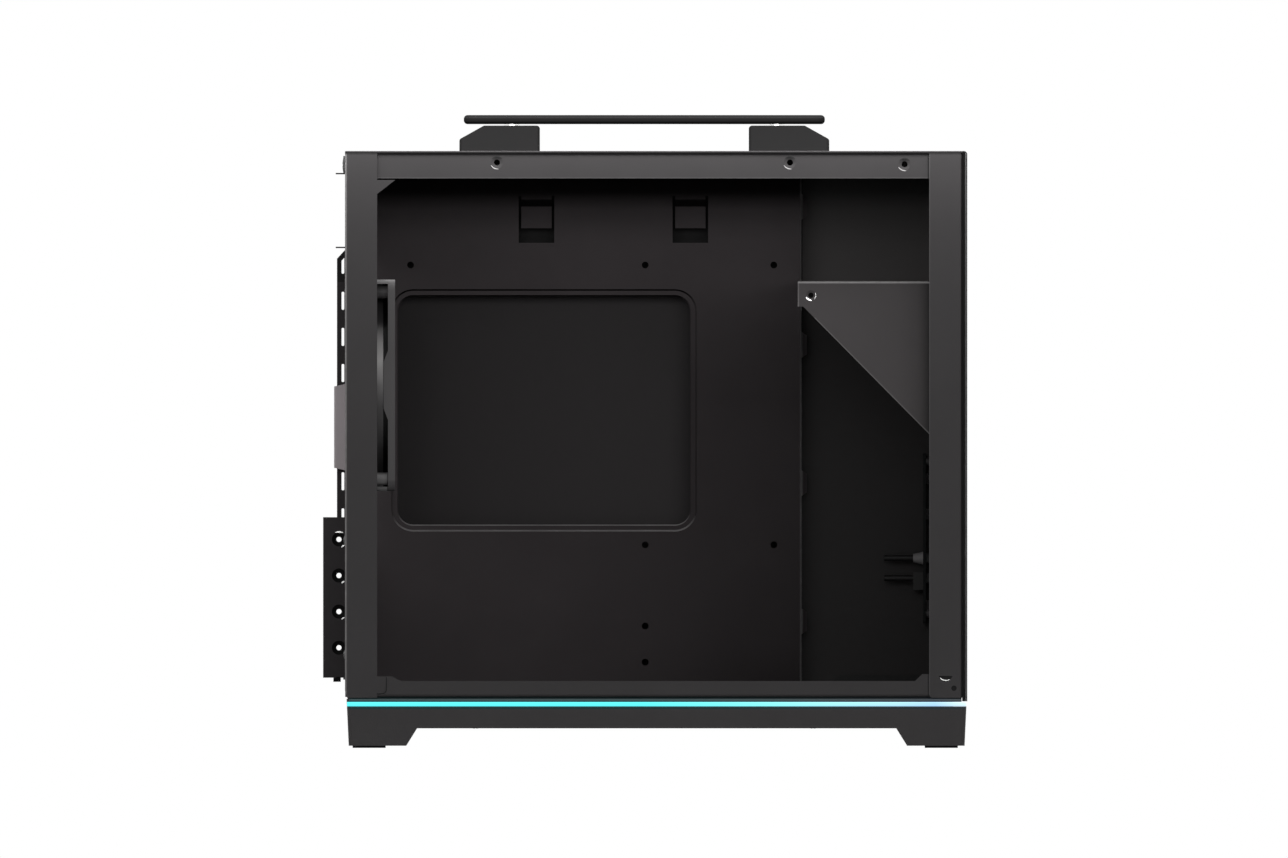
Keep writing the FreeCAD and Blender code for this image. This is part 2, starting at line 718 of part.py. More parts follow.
def make_board_tray():
    """Board tray with a cooler opening, board holes, cable passes and a folded front edge."""
    path = [(x_tray_front, y_tray + tray_flange), (x_tray_front, y_tray), (x_in_rear, y_tray)]
    tray = folded("z", path, sheet, z_in_floor, z_in_roof)
    front, back = y_tray - sheet, y_tray + 2 * sheet
    opening_x = (x_in_rear + cooler_cut[0], x_in_rear + cooler_cut[1])
    opening_top = z_board - cooler_cut_drop
    opening = (opening_x, (opening_top - cooler_cut_height, opening_top), cooler_corner)
    rim = grown(opening, cooler_rim)
    inner_rim = grown(opening, cooler_rim - cooler_step)
    face = y_tray + cooler_draw
    tray = tray.cut(rounded("y", *rim, front, back))
    ledge = joined([rounded("y", *rim, y_tray, y_tray + sheet),
                    frustum("y", rim, inner_rim, y_tray + sheet, face + sheet)])
    ledge = ledge.cut([frustum("y", rim, inner_rim, y_tray, face),
                       frustum("y", grown(opening, cooler_bevel), opening, face, face + cooler_bevel),
                       rounded("y", *opening, front, back + cooler_draw)])
    pieces = [tray, ledge]
    cuts = []
    for x, z in board_hole_places():
        pieces.append(rod("y", (x, z), collar[0], y_tray + sheet, y_tray + sheet + collar[1]))
        cuts.append(rod("y", (x, z), board_hole, front, back + collar[1]))
    for place in pass_places:
        width = about(x_in_rear + place + pass_size[0] / 2, pass_size[0])
        bottom = z_board + pass_above_board
        top = bottom + pass_size[1]
        pieces[0] = pieces[0].cut(block(width, (front, back), (bottom, top)))
        tab = [(y_tray + tab_back, top - tab_drop), (y_tray + tab_back, top - tab_back - 2 * sheet),
               (y_tray, top - 2 * sheet), (y_tray, top + 2 * sheet)]
        pieces.append(folded("x", tab, sheet, width[0] + tab_gap, width[1] - tab_gap))
    for k in range(edge_tab_count):
        z = z_in_floor + edge_tab_low + k * edge_tab_pitch
        half = edge_tab[1] / 2
        outline = [(x_tray_front - sheet, z - half), (x_tray_front, z - half),
                   (x_tray_front + edge_tab[0], z - half + edge_tab[2]),
                   (x_tray_front + edge_tab[0], z + half - edge_tab[2]),
                   (x_tray_front, z + half), (x_tray_front - sheet, z + half)]
        pieces.append(prism("y", outline, y_tray + tray_flange - sheet, y_tray + tray_flange))
    return joined(pieces).cut(cuts)


def board_hole_places():
    """Board holes as (x, z): three full columns, and one odd hole in the top row."""
    places = []
    for column in board_columns:
        rows = board_rows[:1] if column == board_columns[1] else board_rows
        rows = board_rows[:2] if column == board_columns[3] else rows
        places += [(x_board + column, z_board - row) for row in rows]
    return places


# Slot covers and their clamp

def make_slot_cover(middle):
    """Slot cover with three slits and a notched tab that lies on the slot shelf."""
    end = y_shelf + slot_wall + slot_length + cover_lap
    path = [(x_shelf + shelf_short, y_shelf), (x_in_rear, y_shelf), (x_in_rear, end)]
    cover = folded("z", path, panel_sheet, *about(middle, tab_width))
    tongue = block((x_in_rear, x_in_rear + panel_sheet), (end, end + cover_tongue),
                   about(middle, cover_tongue_width))
    notch = rounded("y", about(x_web - slot_screw_out, 2 * (slot_thread + hole_gap)),
                    (middle + slot_screw_rise - slot_thread, middle + tab_width), slot_thread,
                    y_shelf - 2 * panel_sheet, y_shelf + panel_sheet)
    cuts = [notch]
    reach = (slot_length - cover_slit[0]) / 2
    for k in (-1, 0, 1):
        span = about(y_shelf + slot_wall + slot_length / 2 + k * reach * 0.85, cover_slit[0])
        cuts += [rounded("x", span, about(middle, cover_slit[1]), cover_slit[1] * 0.48,
                         x_in_rear - sheet, x_in_rear + 2 * sheet)]
    return joined([cover, tongue]).cut(cuts)


def make_slot_clamp():
    """Angle outside the rear sheet that holds the slot covers' tabs down."""
    face = y_shelf - panel_sheet
    x_end = x_rear - slot_reach
    path = [(x_end, face), (x_web, face), (x_web, face - clamp_leaf - tab_window / 2)]
    leaf = folded("z", path, sheet, *z_shelf)
    tongue_x = about(x_web - slot_screw_out - clamp_tongue[0] / 4, clamp_tongue[0])
    tongue = block(tongue_x, (face - sheet, face), (z_shelf[0] - clamp_tongue[1], z_shelf[0]))
    cuts = []
    for middle in slot_middles():
        hole = (x_web - slot_screw_out, middle + slot_screw_rise)
        cuts.append(rod("y", hole, slot_thread + hole_gap, face - 2 * sheet, face + sheet))
        cuts.append(cone("y", hole, clamp_dimple, slot_thread, face - sheet, face - sheet / 2))
    cuts += [rod("x", place, small_screw[2] + hole_gap, x_web - 2 * sheet, x_web + sheet)
             for place in clamp_holes()]
    return joined([leaf, tongue]).cut(cuts)


# Mains inlet

def make_inlet_plate():
    """Plate round the mains inlet with a lip above and below."""
    front, back = x_web - inlet_lip, x_web + sheet
    path = [(front, z_inlet_top), (x_web, z_inlet_top), (x_web, z_inlet), (front, z_inlet)]
    plate = folded("y", path, panel_sheet, *about(y_inlet, inlet_plate_width))
    middle = (z_inlet + z_inlet_top) / 2
    cuts = [block((x_web - 2 * panel_sheet, back), about(y_inlet, inlet_body[0] + fit_gap),
                  about(middle, inlet_body[1] + fit_gap))]
    cuts += [rod("x", place, small_screw[2] + hole_gap, front, back) for place in inlet_holes()]
    return plate.cut(cuts)


def make_inlet_socket():
    """Mains inlet: a flange on the plate and a body through it, hollow at the back."""
    middle = (z_inlet + z_inlet_top) / 2
    seat = x_web - panel_sheet
    flange = rounded("x", about(y_inlet, inlet_flange[0]), about(middle, inlet_flange[1]), base_corner,
                     seat - inlet_flange[2], seat)
    body = block((seat, seat + inlet_depth), about(y_inlet, inlet_body[0]), about(middle, inlet_body[1]))
    mouth = seat - inlet_flange[2]
    cuts = [rounded("x", about(y_inlet, inlet_socket_hole[0]), about(middle, inlet_socket_hole[1]),
                    base_corner, mouth - sheet, mouth + inlet_socket_depth)]
    head, _, shank = small_screw
    cuts += [cone("x", place, head + hole_gap, shank + hole_gap, mouth, seat) for place in inlet_holes()]
    return joined([flange, body]).cut(cuts)


def make_inlet_pins():
    """Three flat contact pins on the floor of the inlet's hollow."""
    middle = (z_inlet + z_inlet_top) / 2
    foot = x_web - panel_sheet - inlet_flange[2] + inlet_socket_depth
    pins = []
    for k, rise in ((-1, -0.5), (0, 0.5), (1, -0.5)):
        y = about(y_inlet + k * inlet_pin_pitch, inlet_pin[0])
        z = about(middle + rise * inlet_pin[1], inlet_pin[1])
        pins.append(block((foot - inlet_pin[2], foot), y, z))
    return Part.makeCompound(pins)


# Side panel and its grip

def make_right_panel():
    """Closed side: flat sheet with a slotted rear lip and two screw tabs."""
    edge = x_web - panel_sheet
    low, high = z_floor + fit_gap, z_under_cover - fit_gap
    middle = z_floor + lip_rise
    lip = (middle - lip_reach[0], middle + lip_reach[1])
    outline = [(edge, low), (x_skin, low), (x_skin, high), (edge, high), (edge, lip[1]),
               (edge - lip_out, lip[1] - lip_chamfer), (edge - lip_out, lip[0] + lip_chamfer), (edge, lip[0])]
    pieces = [prism("y", outline, y_right, y_closed)]
    for tab in ((z_rail, z_rail + panel_tab[1]), (high - panel_tab[1], high)):
        pieces.append(block((edge, x_web), (y_right - panel_tab[0], y_right), tab))
    cuts = [rod("x", place, panel_screw_shank + hole_gap, edge - sheet, x_web + sheet)
            for place in panel_holes()]
    across = (edge - lip_slot_inset - lip_slot[0], edge - lip_slot_inset)
    slotted = prism("y", [(edge, lip[1] - lip_edge), (edge - lip_out, lip[1] - lip_chamfer - lip_edge),
                          (edge - lip_out, lip[0] + lip_chamfer + lip_edge), (edge, lip[0] + lip_edge)],
                    y_right - sheet, y_closed + sheet)
    for k in range(lip_slot_count):
        z = middle + (lip_slot_lead - k) * slot_pitch
        slot = rounded("y", across, about(z, lip_slot[1]), lip_slot[2], y_right - sheet, y_closed + sheet)
        cuts.append(slot.common(slotted))
    return joined(pieces).cut(cuts)


def make_panel_grip():
    """Folded finger grip on the inner face of the side panel's lip."""
    edge = x_web - panel_sheet
    out = edge - lip_out - grip_out
    inner = y_right - grip_depth
    path = [(edge - sheet, inner), (out, inner), (out, y_right), (edge - sheet, y_right)]
    middle = z_floor + lip_rise
    half = grip_length / 2
    grip = folded("z", path, panel_sheet, middle - half, middle + half)
    keep = prism("y", [(out, middle - half + grip_chamfer), (edge, middle - half), (edge, middle + half),
                       (out, middle + half - grip_chamfer)], inner, y_right)
    return grip.common(keep)


# Power supply bracket

def psu_face():
    """Limits of the power supply's shelf: x pair, y pair and upper face."""
    start = x_tray_front - shelf_overhang
    y_start = y_open + gusset_inset
    y_end = y_tray - shelf_to_tray
    return (start, x_in_front), (y_start, y_end), z_in_floor + psu_shelf_rise


def bracket_screw_places():
    """Screws through the bracket's front flange as (y, z)."""
    _, y, z = psu_face()
    rise = z + bracket_flange / 2
    return [(y[0] + bracket_flange / 2, rise), (y[1] - bracket_flange, rise)]


def make_psu_bracket():
    """Shelf with the power supply's opening, a triangular gusset and a flange to the front web."""
    x, y, z = psu_face()
    foot = z - gusset_foot
    path = [(y[0], foot), (y[0], z), (y[1], z)]
    plate = folded("x", path, sheet, *x)
    flange = block((x_in_front - sheet, x_in_front), y, (z - sheet, z + bracket_flange))
    flange = flange.cut(block((x_in_front - sheet, x_in_front), (y[0], y[0] + bend), (z - sheet, z)))
    below = [(x[0] - sheet, z - gusset_tab), (x[0] + gusset_tab_length, z - gusset_tab),
             (x[1], foot), (x[1], foot - sheet), (x[0] - sheet, foot - sheet)]
    cuts = [prism("y", below, y[0] - sheet, y[0] + 2 * sheet)]
    hole = (x[0] + bracket_hole[0], z - bracket_hole[1])
    cuts.append(rod("y", hole, bracket_hole[2], y[0] - sheet, y[0] + 2 * sheet))
    cuts.append(cone("y", hole, bracket_hole_edge, bracket_hole[2], y[0], y[0] + sheet / 2))
    middle = ((x[0] + x[1]) / 2, (y[0] + sheet + y[1]) / 2)
    side = psu_width / 2 - psu_edge
    end = psu_depth / 2 - psu_edge
    low, high = z - 2 * sheet, z + sheet
    cuts.append(rounded("z", about(middle[0], 2 * end - psu_odd_rise - 4 * psu_hole),
                        about(middle[1], 2 * side - 4 * psu_edge), roof_window[2], low, high))
    for across, up in ((-side, end), (side, end), (-side, psu_odd_rise - end), (side - psu_odd_shift, -end)):
        cuts.append(rod("z", (middle[0] + up, middle[1] + across), psu_hole, low, high))
    cuts += [rod("x", place, small_screw[2] + hole_gap, x_in_front - 2 * sheet, x_skin) for place in
             bracket_screw_places()]
    return joined([plate, flange]).cut(cuts)


# Front glass, connector strip and what stands behind it

def front_pane(y):
    """Upright pane on the front, with ground side edges and a rounded upper edge."""
    pane = block((x_skin, x_front), y, z_glass)
    face = edges_at(pane, "x", x_front)
    pane = pane.makeFillet(glass_crown, [e for e in face if abs(e.CenterOfMass.z - z_glass[1]) < sheet])
    upright = [e for e in along(pane, "z") if abs(e.CenterOfMass.x - x_front) < glass_edge]
    return pane.makeChamfer(glass_edge, upright)


def make_front_glass():
    """Glass front pane."""
    return front_pane((y_open, y_strip - strip_joint))


def buttons():
    """Each button's middle height, radius and stem radius."""
    return [(z_in_floor + rise, radius, stem) for rise, radius, stem in
            zip(button_rise, button_radius, button_stem)]


def boss_places():
    """The connector board's two bosses as (y, z), at its lower and upper end."""
    side = strip_width / 2 - board_inset - boss_radius - sheet
    return [(y_connectors - side, z_in_floor + rise) for rise in boss_rise]


def make_io_strip():
    """Connector strip beside the glass, with holes for its ports and bosses for its board."""
    strip = front_pane((y_strip, y_closed))
    bosses = [rod("x", place, boss_radius, x_board_face, x_skin) for place in boss_places()]
    front, back = x_skin - sheet, x_front + sheet
    cuts = [rod("x", (y_connectors, z), radius + button_gap, front, back) for z, radius, _ in buttons()]
    for rise in lead_rise:
        cuts.append(rounded("x", about(y_connectors, port_size[0] + fit_gap),
                            about(z_in_floor + rise, port_size[1] + fit_gap), bend, front, back))
    cuts.append(rod("x", (y_connectors, z_in_floor + jack_rise), jack_radius + hole_gap, front, back))
    return joined([strip] + bosses).cut(cuts)


def make_io_board():
    """Connector board on the strip's bosses."""
    return rounded("x", (y_strip + board_inset, y_right - sheet - board_inset),
                   (z_in_floor + board_span[0], z_in_floor + board_span[1]), bend, x_board_back, x_board_face)


def make_button(z, radius, stem):
    """Push button: crowned cap in the strip, rim behind it and a stem to its switch."""
    centre = (y_connectors, z)
    tip = x_board_face + switch_height + button_travel + fit_gap
    rim_face = x_skin - hole_gap
    cap = rod("x", centre, radius, rim_face, x_front - button_flush)
    cap = cap.makeFillet(button_gap * 2, edges_at(cap, "x", x_front - button_flush))
    rim = rod("x", centre, radius + button_rim, rim_face - button_rim_thickness, rim_face)
    return joined([cap, rim, rod("x", centre, stem, tip, rim_face - button_rim_thickness)])


def make_button_switches():
    """Small push switches on the connector board, one behind each button."""
    switches = []
    for z, _, stem in buttons():
        can = block((x_board_face, x_board_face + switch_height - sheet), about(y_connectors, switch_size),
                    about(z, switch_size))
        tip = rod("x", (y_connectors, z), stem * 0.8, x_board_face + switch_height - sheet,
                  x_board_face + switch_height)
        switches.append(joined([can, tip]))
    return Part.makeCompound(switches)


def make_port(rise):
    """Flat socket on the connector board: metal shell with a contact tongue inside."""
    z = z_in_floor + rise
    mouth = x_front - port_flush
    shell = rounded("x", about(y_connectors, port_size[0]), about(z, port_size[1]), bend, x_board_face, mouth)
    inner = [size - 2 * port_wall for size in port_size]
    hollow = rounded("x", about(y_connectors, inner[0]), about(z, inner[1]), bend - port_wall + hole_gap,
                     mouth - port_depth, mouth + sheet)
    tongue_top = z + port_size[1] / 2 - 2 * port_wall - hole_gap
    tongue = block((mouth - port_depth - sheet, mouth - sheet), about(y_connectors, port_tongue[0]),
                   (tongue_top - port_tongue[1], tongue_top))
    return joined([shell.cut(hollow), tongue])


def make_audio_jack():
    """Round audio socket on the connector board."""
    centre = (y_connectors, z_in_floor + jack_rise)
    body = block((x_board_face, x_in_front), about(centre[0], jack_body[0]), about(centre[1], jack_body[1]))
    barrel = rod("x", centre, jack_radius, x_in_front, x_front - port_flush)
    bore = rod("x", centre, jack_bore, x_front - jack_bore_depth, x_front + sheet)
    return joined([body, barrel]).cut(bore)


def make_lead(rise, relief):
    """Short lead behind the connector board, from a tapered relief or a square header."""
    centre = (y_connectors, z_in_floor + rise)
    end = x_board_back - relief_length
    lead = rod("x", centre, lead_radius, end - lead_length, end)
    lead = lead.makeFillet(lead_radius * 0.3, edges_at(lead, "x", end - lead_length))
    if relief:
        return joined([lead, cone("x", centre, *relief_radius, end, x_board_back)])
    header = block((end, x_board_back), about(centre[0], header_size[0]),
                   (centre[1] - header_size[1] * 0.6, centre[1] + header_size[1] * 0.3))
    return joined([lead, header])


# Plinth with its light strip, pads and screws

def base_limits(inset=0.0):
    """Plinth's outline at its top, set in by an amount: x pair and y pair."""
    return ((x_rear + base_inset_rear + inset, x_front - base_inset_front - inset),
            (y_open + base_inset_side + inset, y_closed - base_inset_side - inset))


def base_screw_places():
    """Plinth's four screws as (x, y), in the middle of its side beams."""
    _, y = base_limits(base_beam / 2)
    return [(handle_x + a * base_screw_x, b) for a in (-1, 1) for b in y]


def strip_ring(inset, depth, low, high):
    """Bar that runs round the plinth's sides and front, open at the rear."""
    outer_x, outer_y = base_limits(inset)
    inner_x, inner_y = base_limits(inset + depth)
    corner = base_corner - min(inset, base_corner / 2)
    ring = rounded("z", outer_x, outer_y, corner, low, high)
    past_rear = (outer_x[0] - base_beam, inner_x[1])
    return ring.cut(rounded("z", past_rear, inner_y, bend, low, high))


def make_base():
    """Plinth: tapered frame on four feet, hollow underneath, with a groove for the light strip."""
    top_x, top_y = base_limits()
    sole_x, sole_y = base_limits(base_draft)
    frame = frustum("z", (sole_x, sole_y, base_corner), (top_x, top_y, base_corner), pad_height, z_base_top)
    seat_x = base_limits(seat_end_inset)[0]
    seat_y = base_limits(seat_inset)[1]
    frame = joined([frame, rounded("z", seat_x, seat_y, base_corner, z_base_top, z_floor)])
    inner_x, inner_y = base_limits(base_beam)
    arch = pad_height + arch_height
    under = pad_height - base_roof
    cuts = [rounded("z", inner_x, inner_y, base_corner, under, z_floor + sheet)]
    for axis, limits, across in (("y", sole_x, sole_y), ("x", sole_y, sole_x)):
        low, high = limits[0] + foot_length, limits[1] - foot_length
        slope = foot_slope * (arch - under) / arch_height
        outline = [(low - slope + foot_slope, under), (high + slope - foot_slope, under),
                   (high - foot_slope, arch), (low + foot_slope, arch)]
        cuts.append(prism(axis, outline, across[0] - base_beam, across[1] + base_beam))
    hollow_top = z_base_top - base_roof
    foot = foot_length + base_wall
    for limits, inner, axis in ((top_x, inner_y, "x"), (top_y, inner_x, "y")):
        span = (limits[0] + foot, limits[1] - foot)
        for edge, side in ((inner[0], -1), (inner[1], 1)):
            channel = sorted((edge + side * base_wall, edge + side * (base_beam - base_wall - base_draft)))
            pair = (span, channel) if axis == "x" else (channel, span)
            cuts.append(block(pair[0], pair[1], (under, hollow_top)))
    frame = frame.cut(cuts)
    bosses = [rod("z", place, base_boss, arch, hollow_top) for place in base_screw_places()]
    frame = joined([frame] + bosses)
    groove = strip_ring(-base_wall, base_wall + strip_inset + strip_depth + led_sheet + fit_gap,
                        z_strip - strip_height, z_strip)
    glass_step = block((x_skin - fit_gap, x_front), (y_open, y_closed), (z_strip, z_floor + sheet))
    holes = [groove, glass_step]
    for place in base_screw_places():
        holes.append(rod("z", place, base_screw[2] + hole_gap, under, z_floor + sheet))
        holes.append(rod("z", place, base_screw[0] + fit_gap, under, arch + base_screw[1] + fit_gap))
    return frame.cut(holes + pad_solids(fit_gap / 2))


def pad_solids(room=0.0):
    """Rubber pads under the feet, or the pockets that they sit in."""
    sole_x, sole_y = base_limits(base_draft)
    pads = []
    for x in (sole_x[0] + pad_end_inset[0], sole_x[1] - pad_end_inset[1] - pad_length):
        for y in (sole_y[0] + pad_inset, sole_y[1] - pad_inset - pad_length):
            pads.append(rounded("z", (x - room, x + pad_length + room), (y - room, y + pad_length + room),
                                pad_corner, 0, pad_height + pad_sunk))
    return pads


def make_light_strip():
    """Light strip in the plinth's groove."""
    top = z_strip - hole_gap / 2
    return strip_ring(strip_inset, strip_depth, top - strip_height + hole_gap, top)


def make_led_board():
    """Strip of lamps behind the light strip."""
    top = z_strip - fit_gap
    return strip_ring(strip_inset + strip_depth + hole_gap, led_sheet, top - strip_height + 2 * fit_gap, top)


def make_base_screws():
    """Screws up through the plinth into the floor."""
    seat = pad_height + arch_height + base_screw[1] + fit_gap
    return Part.makeCompound([screw("z", place, base_screw[0], base_screw[2], seat - base_screw[1], seat,
                                    z_in_floor + sheet) for place in base_screw_places()])


# Handle

def support_screws():
    """Where each support's long screw stands along the case, rear and front."""
    flat = support_length - support_lead
    reach = bar_length / 2 + support_beyond - support_lead - flat / 2
    return [handle_x - reach, handle_x + reach]


def make_handle_support(side):
    """Handle support with a sloped outer end and two locating pegs."""
    outer = handle_x + side * (bar_length / 2 + support_beyond)
    inner = outer - side * support_length
    high = z_top + support_height
    outline = [(outer, z_top), (outer, z_top + support_outer), (outer - side * support_lead, high),
               (inner, high), (inner, z_top)]
    body = prism("y", outline, -support_width / 2, support_width / 2)
    rounded_edges = along(body, "z") + [e for e in along(body, "y") if e.Vertexes[0].Z > z_top + sheet]
    body = body.makeFillet(support_edge, rounded_edges)
    x = support_screws()[0 if side < 0 else 1]
    pieces = [body]
    for shift in (-1, 1):
        pieces.append(rod("z", (x + shift * support_peg[1], 0), support_peg[0], z_top - cover_sheet, z_top))
    return joined(pieces).cut(rod("z", (x, 0), handle_screw[2] + hole_gap, z_top - sheet, high + sheet))


def make_handle_washers():
    """Washers that hold the bar off its supports."""
    low = z_top + support_height
    washers = []
    for x in support_screws():
        ring = rod("z", (x, 0), bar_washer, low, low + bar_gap)
        washers.append(ring.cut(rod("z", (x, 0), handle_screw[2] + hole_gap, low - sheet, low + sheet)))
    return Part.makeCompound(washers)


def make_handle_bar():
    """Flat carrying bar with a full round edge."""
    low = z_top + support_height + bar_gap
    bar = rounded("z", about(handle_x, bar_length), about(0, bar_width), bar_corner, low, low + bar_thickness)
    rim = edges_at(bar, "z", low) + edges_at(bar, "z", low + bar_thickness)
    bar = bar.makeFillet(bar_thickness * 0.42, rim)
    holes = [rod("z", (x, 0), handle_screw[2], low, low + bar_screw_depth) for x in support_screws()]
    return bar.cut(holes)


def make_handle_screws():
    """Long screws from under the cover, through the supports into the bar."""
    tip = z_top + support_height + bar_gap + bar_screw_depth
    head, height, shank = handle_screw
    return Part.makeCompound([screw("z", (x, 0), head, shank, z_under_cover - height, z_under_cover, tip)
                              for x in support_screws()])


# Fan

def turned(shape, angle):
    """Shape turned about the fan's axis, in degrees."""
    copy = shape.copy()
    copy.rotate(Vector(0, y_fan, z_fan), Vector(1, 0, 0), angle)
    return copy


def make_fan_frame():
    """Fan frame: ring between two square flanges, with struts that carry the bearing tube."""
    centre = (y_fan, z_fan)
    inner = x_in_rear + fan_thickness
    square = (about(y_fan, fan_size), about(z_fan, fan_size))
    pieces = [rounded("x", *square, fan_corner, x_in_rear, x_in_rear + fan_flange),
              rounded("x", *square, fan_corner, inner - fan_flange, inner),
              rod("x", centre, fan_bore + fan_wall, x_in_rear, inner)]
    deep, half, slope = fan_rib
    rib = prism("y", [(inner - fan_flange, z_fan - half), (inner - fan_flange - deep, z_fan - half + slope),
                      (inner - fan_flange - deep, z_fan + half - slope), (inner - fan_flange, z_fan + half)],
                y_fan - fan_size / 2, y_fan - fan_size / 2 + 2 * fan_wall)
    pieces += [turned(rib, 90 * k) for k in range(4)]
    pieces += [rod("x", place, fan_post, x_in_rear, inner) for place in fan_corners()]
    pieces += fan_lugs(square)
    frame = joined(pieces)
    cuts = [rod("x", centre, fan_bore, x_in_rear - sheet, inner + sheet)]
    cuts += [rod("x", place, fan_screw[2] + hole_gap, x_in_rear - sheet, inner + sheet)
             for place in fan_corners()]
    frame = frame.cut(cuts)
    seat = x_in_rear + fan_base_thickness
    hub = [rod("x", centre, fan_base, x_in_rear, seat),
           rod("x", centre, fan_tube, seat, rotor_limits()[1] - fan_hub_gap)]
    strut = block((x_in_rear, seat), about(y_fan, fan_strut),
                  (z_fan + fan_base - sheet, z_fan + fan_bore + sheet))
    struts = [turned(strut, 360 / fan_strut_count * (k + 0.5)) for k in range(fan_strut_count)]
    frame = joined([frame] + hub + struts)
    return frame.cut(rod("x", centre, fan_shaft + shaft_gap, x_in_rear + sheet, inner))


def fan_lugs(square):
    """Walls that close the frame's corners between the flanges, along its upper and lower side."""
    inner = x_in_rear + fan_thickness
    hollow = grown((*square, fan_corner), -fan_wall)
    skin = rounded("x", *square, fan_corner, x_in_rear, inner)
    skin = skin.cut(rounded("x", *hollow, x_in_rear - sheet, inner + sheet))
    height, length = fan_lug
    (left, right), (low, high) = square
    return [skin.common(block((x_in_rear, inner), y, z))
            for y in ((left, left + length), (right - length, right))
            for z in ((low, low + height), (high - height, high))]


def rotor_limits():
    """Rotor hub's open rear end and the inside of its front, along the fan's axis."""
    start = x_in_rear + fan_base_thickness + fan_hub_gap
    return start, x_in_rear + fan_thickness - rotor_front - fan_hub_wall


def blade_section(radius, chord, pitch):
    """Lens-shaped blade section across the radius: two arcs on one chord."""
    start, end = rotor_limits()
    middle = Vector((start + end + fan_hub_wall) / 2, y_fan, z_fan + radius)
    run = Vector(sin(pitch), cos(pitch), 0)
    rise = Vector(cos(pitch), -sin(pitch), 0)
    tips = (middle - run * (chord / 2), middle + run * (chord / 2))
    crown = middle + rise * (blade_camber + blade_thickness / 2)
    hollow = middle + rise * (blade_camber - blade_thickness / 2)
    arcs = [Part.Arc(tips[0], crown, tips[1]), Part.Arc(tips[1], hollow, tips[0])]
    return Part.Wire([arc.toShape() for arc in arcs])


def make_fan_rotor():
    """Rotor: cup-shaped hub with swept blades and a shaft that runs in the bearing tube."""
    centre = (y_fan, z_fan)
    start, end = rotor_limits()
    face = end + fan_hub_wall
    cup = rod("x", centre, fan_hub, start, face)
    cup = cup.makeFillet(fan_hub_wall * 0.8, edges_at(cup, "x", face))
    tip = fan_bore - blade_tip_gap
    root = blade_section(fan_hub - fan_hub_wall, blade_root_chord, blade_root_pitch)
    end_section = blade_section(fan_bore + blade_tip_gap, blade_tip_chord, blade_tip_pitch)
    blade = Part.makeLoft([root, end_section], True, True)
    blade = blade.common(rod("x", centre, tip, x_in_rear, x_in_rear + fan_thickness))
    blades = [turned(blade, 360 / blade_count * k) for k in range(blade_count)]
    rotor = joined([cup] + blades).cut(rod("x", centre, fan_hub - fan_hub_wall, x_in_rear, end))
    shaft = rod("x", centre, fan_shaft, x_in_rear + fan_base_thickness, end)
    return joined([rotor, shaft])


def make_fan_stator():
    """Windings round the bearing tube inside the hub."""
    start, end = rotor_limits()
    ring = rod("x", (y_fan, z_fan), stator_radius, start, end - 2 * fan_hub_gap)
    return ring.cut(rod("x", (y_fan, z_fan), fan_tube, x_in_rear, x_in_rear + fan_thickness))


def make_fan_screws():
    """Fan screws from outside the rear sheet."""
    head, height, shank = fan_screw
    return Part.makeCompound([screw("x", place, head, shank, x_web - height, x_web, x_in_rear + fan_flange)
                              for place in fan_corners()])


# Small screws

def make_clamp_screws():
    """Slot clamp's screws into the rear sheet."""
    head, height, shank = small_screw
    seat = x_web - sheet
    return Part.makeCompound([screw("x", place, head, shank, seat - height, seat, x_in_rear)
                              for place in clamp_holes()])


def make_inlet_screws():
    """Mains inlet's screws through its plate into the rear sheet."""
    head, _, shank = small_screw
    seat = x_web - panel_sheet
    return Part.makeCompound([flat_screw("x", place, head, shank, seat - inlet_flange[2], seat, x_in_rear)
                              for place in inlet_holes()])


def make_panel_screws():
    """Wide-headed screws that hold the side panel's tabs on the rear sheet."""
    seat = x_web - panel_sheet
    return Part.makeCompound([screw("x", place, panel_head[0], panel_screw_shank, seat - panel_head[1], seat,
                                    x_in_rear) for place in panel_holes()])


def make_bracket_screws():
    """Power supply bracket's screws, forward into the front web."""
    head, height, shank = small_screw
    seat = x_in_front - sheet
    return Part.makeCompound([screw("x", place, head, shank, seat - height, seat, x_skin)
                              for place in bracket_screw_places()])


# The whole case

nodes["rear_panel"] = make_rear_panel()
nodes["bottom_panel"] = make_bottom_panel()
nodes["top_frame"] = make_top_frame()
nodes["top_cover"] = make_top_cover()
nodes["roof_filter"] = make_roof_filter()
nodes["front_frame"] = make_front_frame()
nodes["board_tray"] = make_board_tray()
for number, middle in enumerate(slot_middles(), 1):
    nodes[f"slot_cover_{number}"] = make_slot_cover(middle)
nodes["slot_clamp"] = make_slot_clamp()
nodes["clamp_screws"] = make_clamp_screws()
nodes["inlet_plate"] = make_inlet_plate()
nodes["inlet_socket"] = make_inlet_socket()
nodes["inlet_pins"] = make_inlet_pins()
nodes["inlet_screws"] = make_inlet_screws()
nodes["right_panel"] = make_right_panel()
nodes["panel_grip"] = make_panel_grip()
nodes["panel_screws"] = make_panel_screws()
nodes["psu_bracket"] = make_psu_bracket()
nodes["bracket_screws"] = make_bracket_screws()
nodes["front_glass"] = make_front_glass()
nodes["io_strip"] = make_io_strip()
nodes["io_board"] = make_io_board()
nodes["power_button"] = make_button(*buttons()[0])
nodes["reset_button"] = make_button(*buttons()[1])
nodes["button_switches"] = make_button_switches()
nodes["port_upper"] = make_port(lead_rise[0])
nodes["port_lower"] = make_port(lead_rise[1])
nodes["audio_jack"] = make_audio_jack()
nodes["lead_upper"] = make_lead(lead_rise[0], True)
nodes["lead_lower"] = make_lead(lead_rise[1], False)
nodes["base"] = make_base()
nodes["light_strip"] = make_light_strip()
nodes["led_board"] = make_led_board()
for place, pad in zip(("rear_left", "rear_right", "front_left", "front_right"), pad_solids()):
    nodes[f"foot_pad_{place}"] = pad
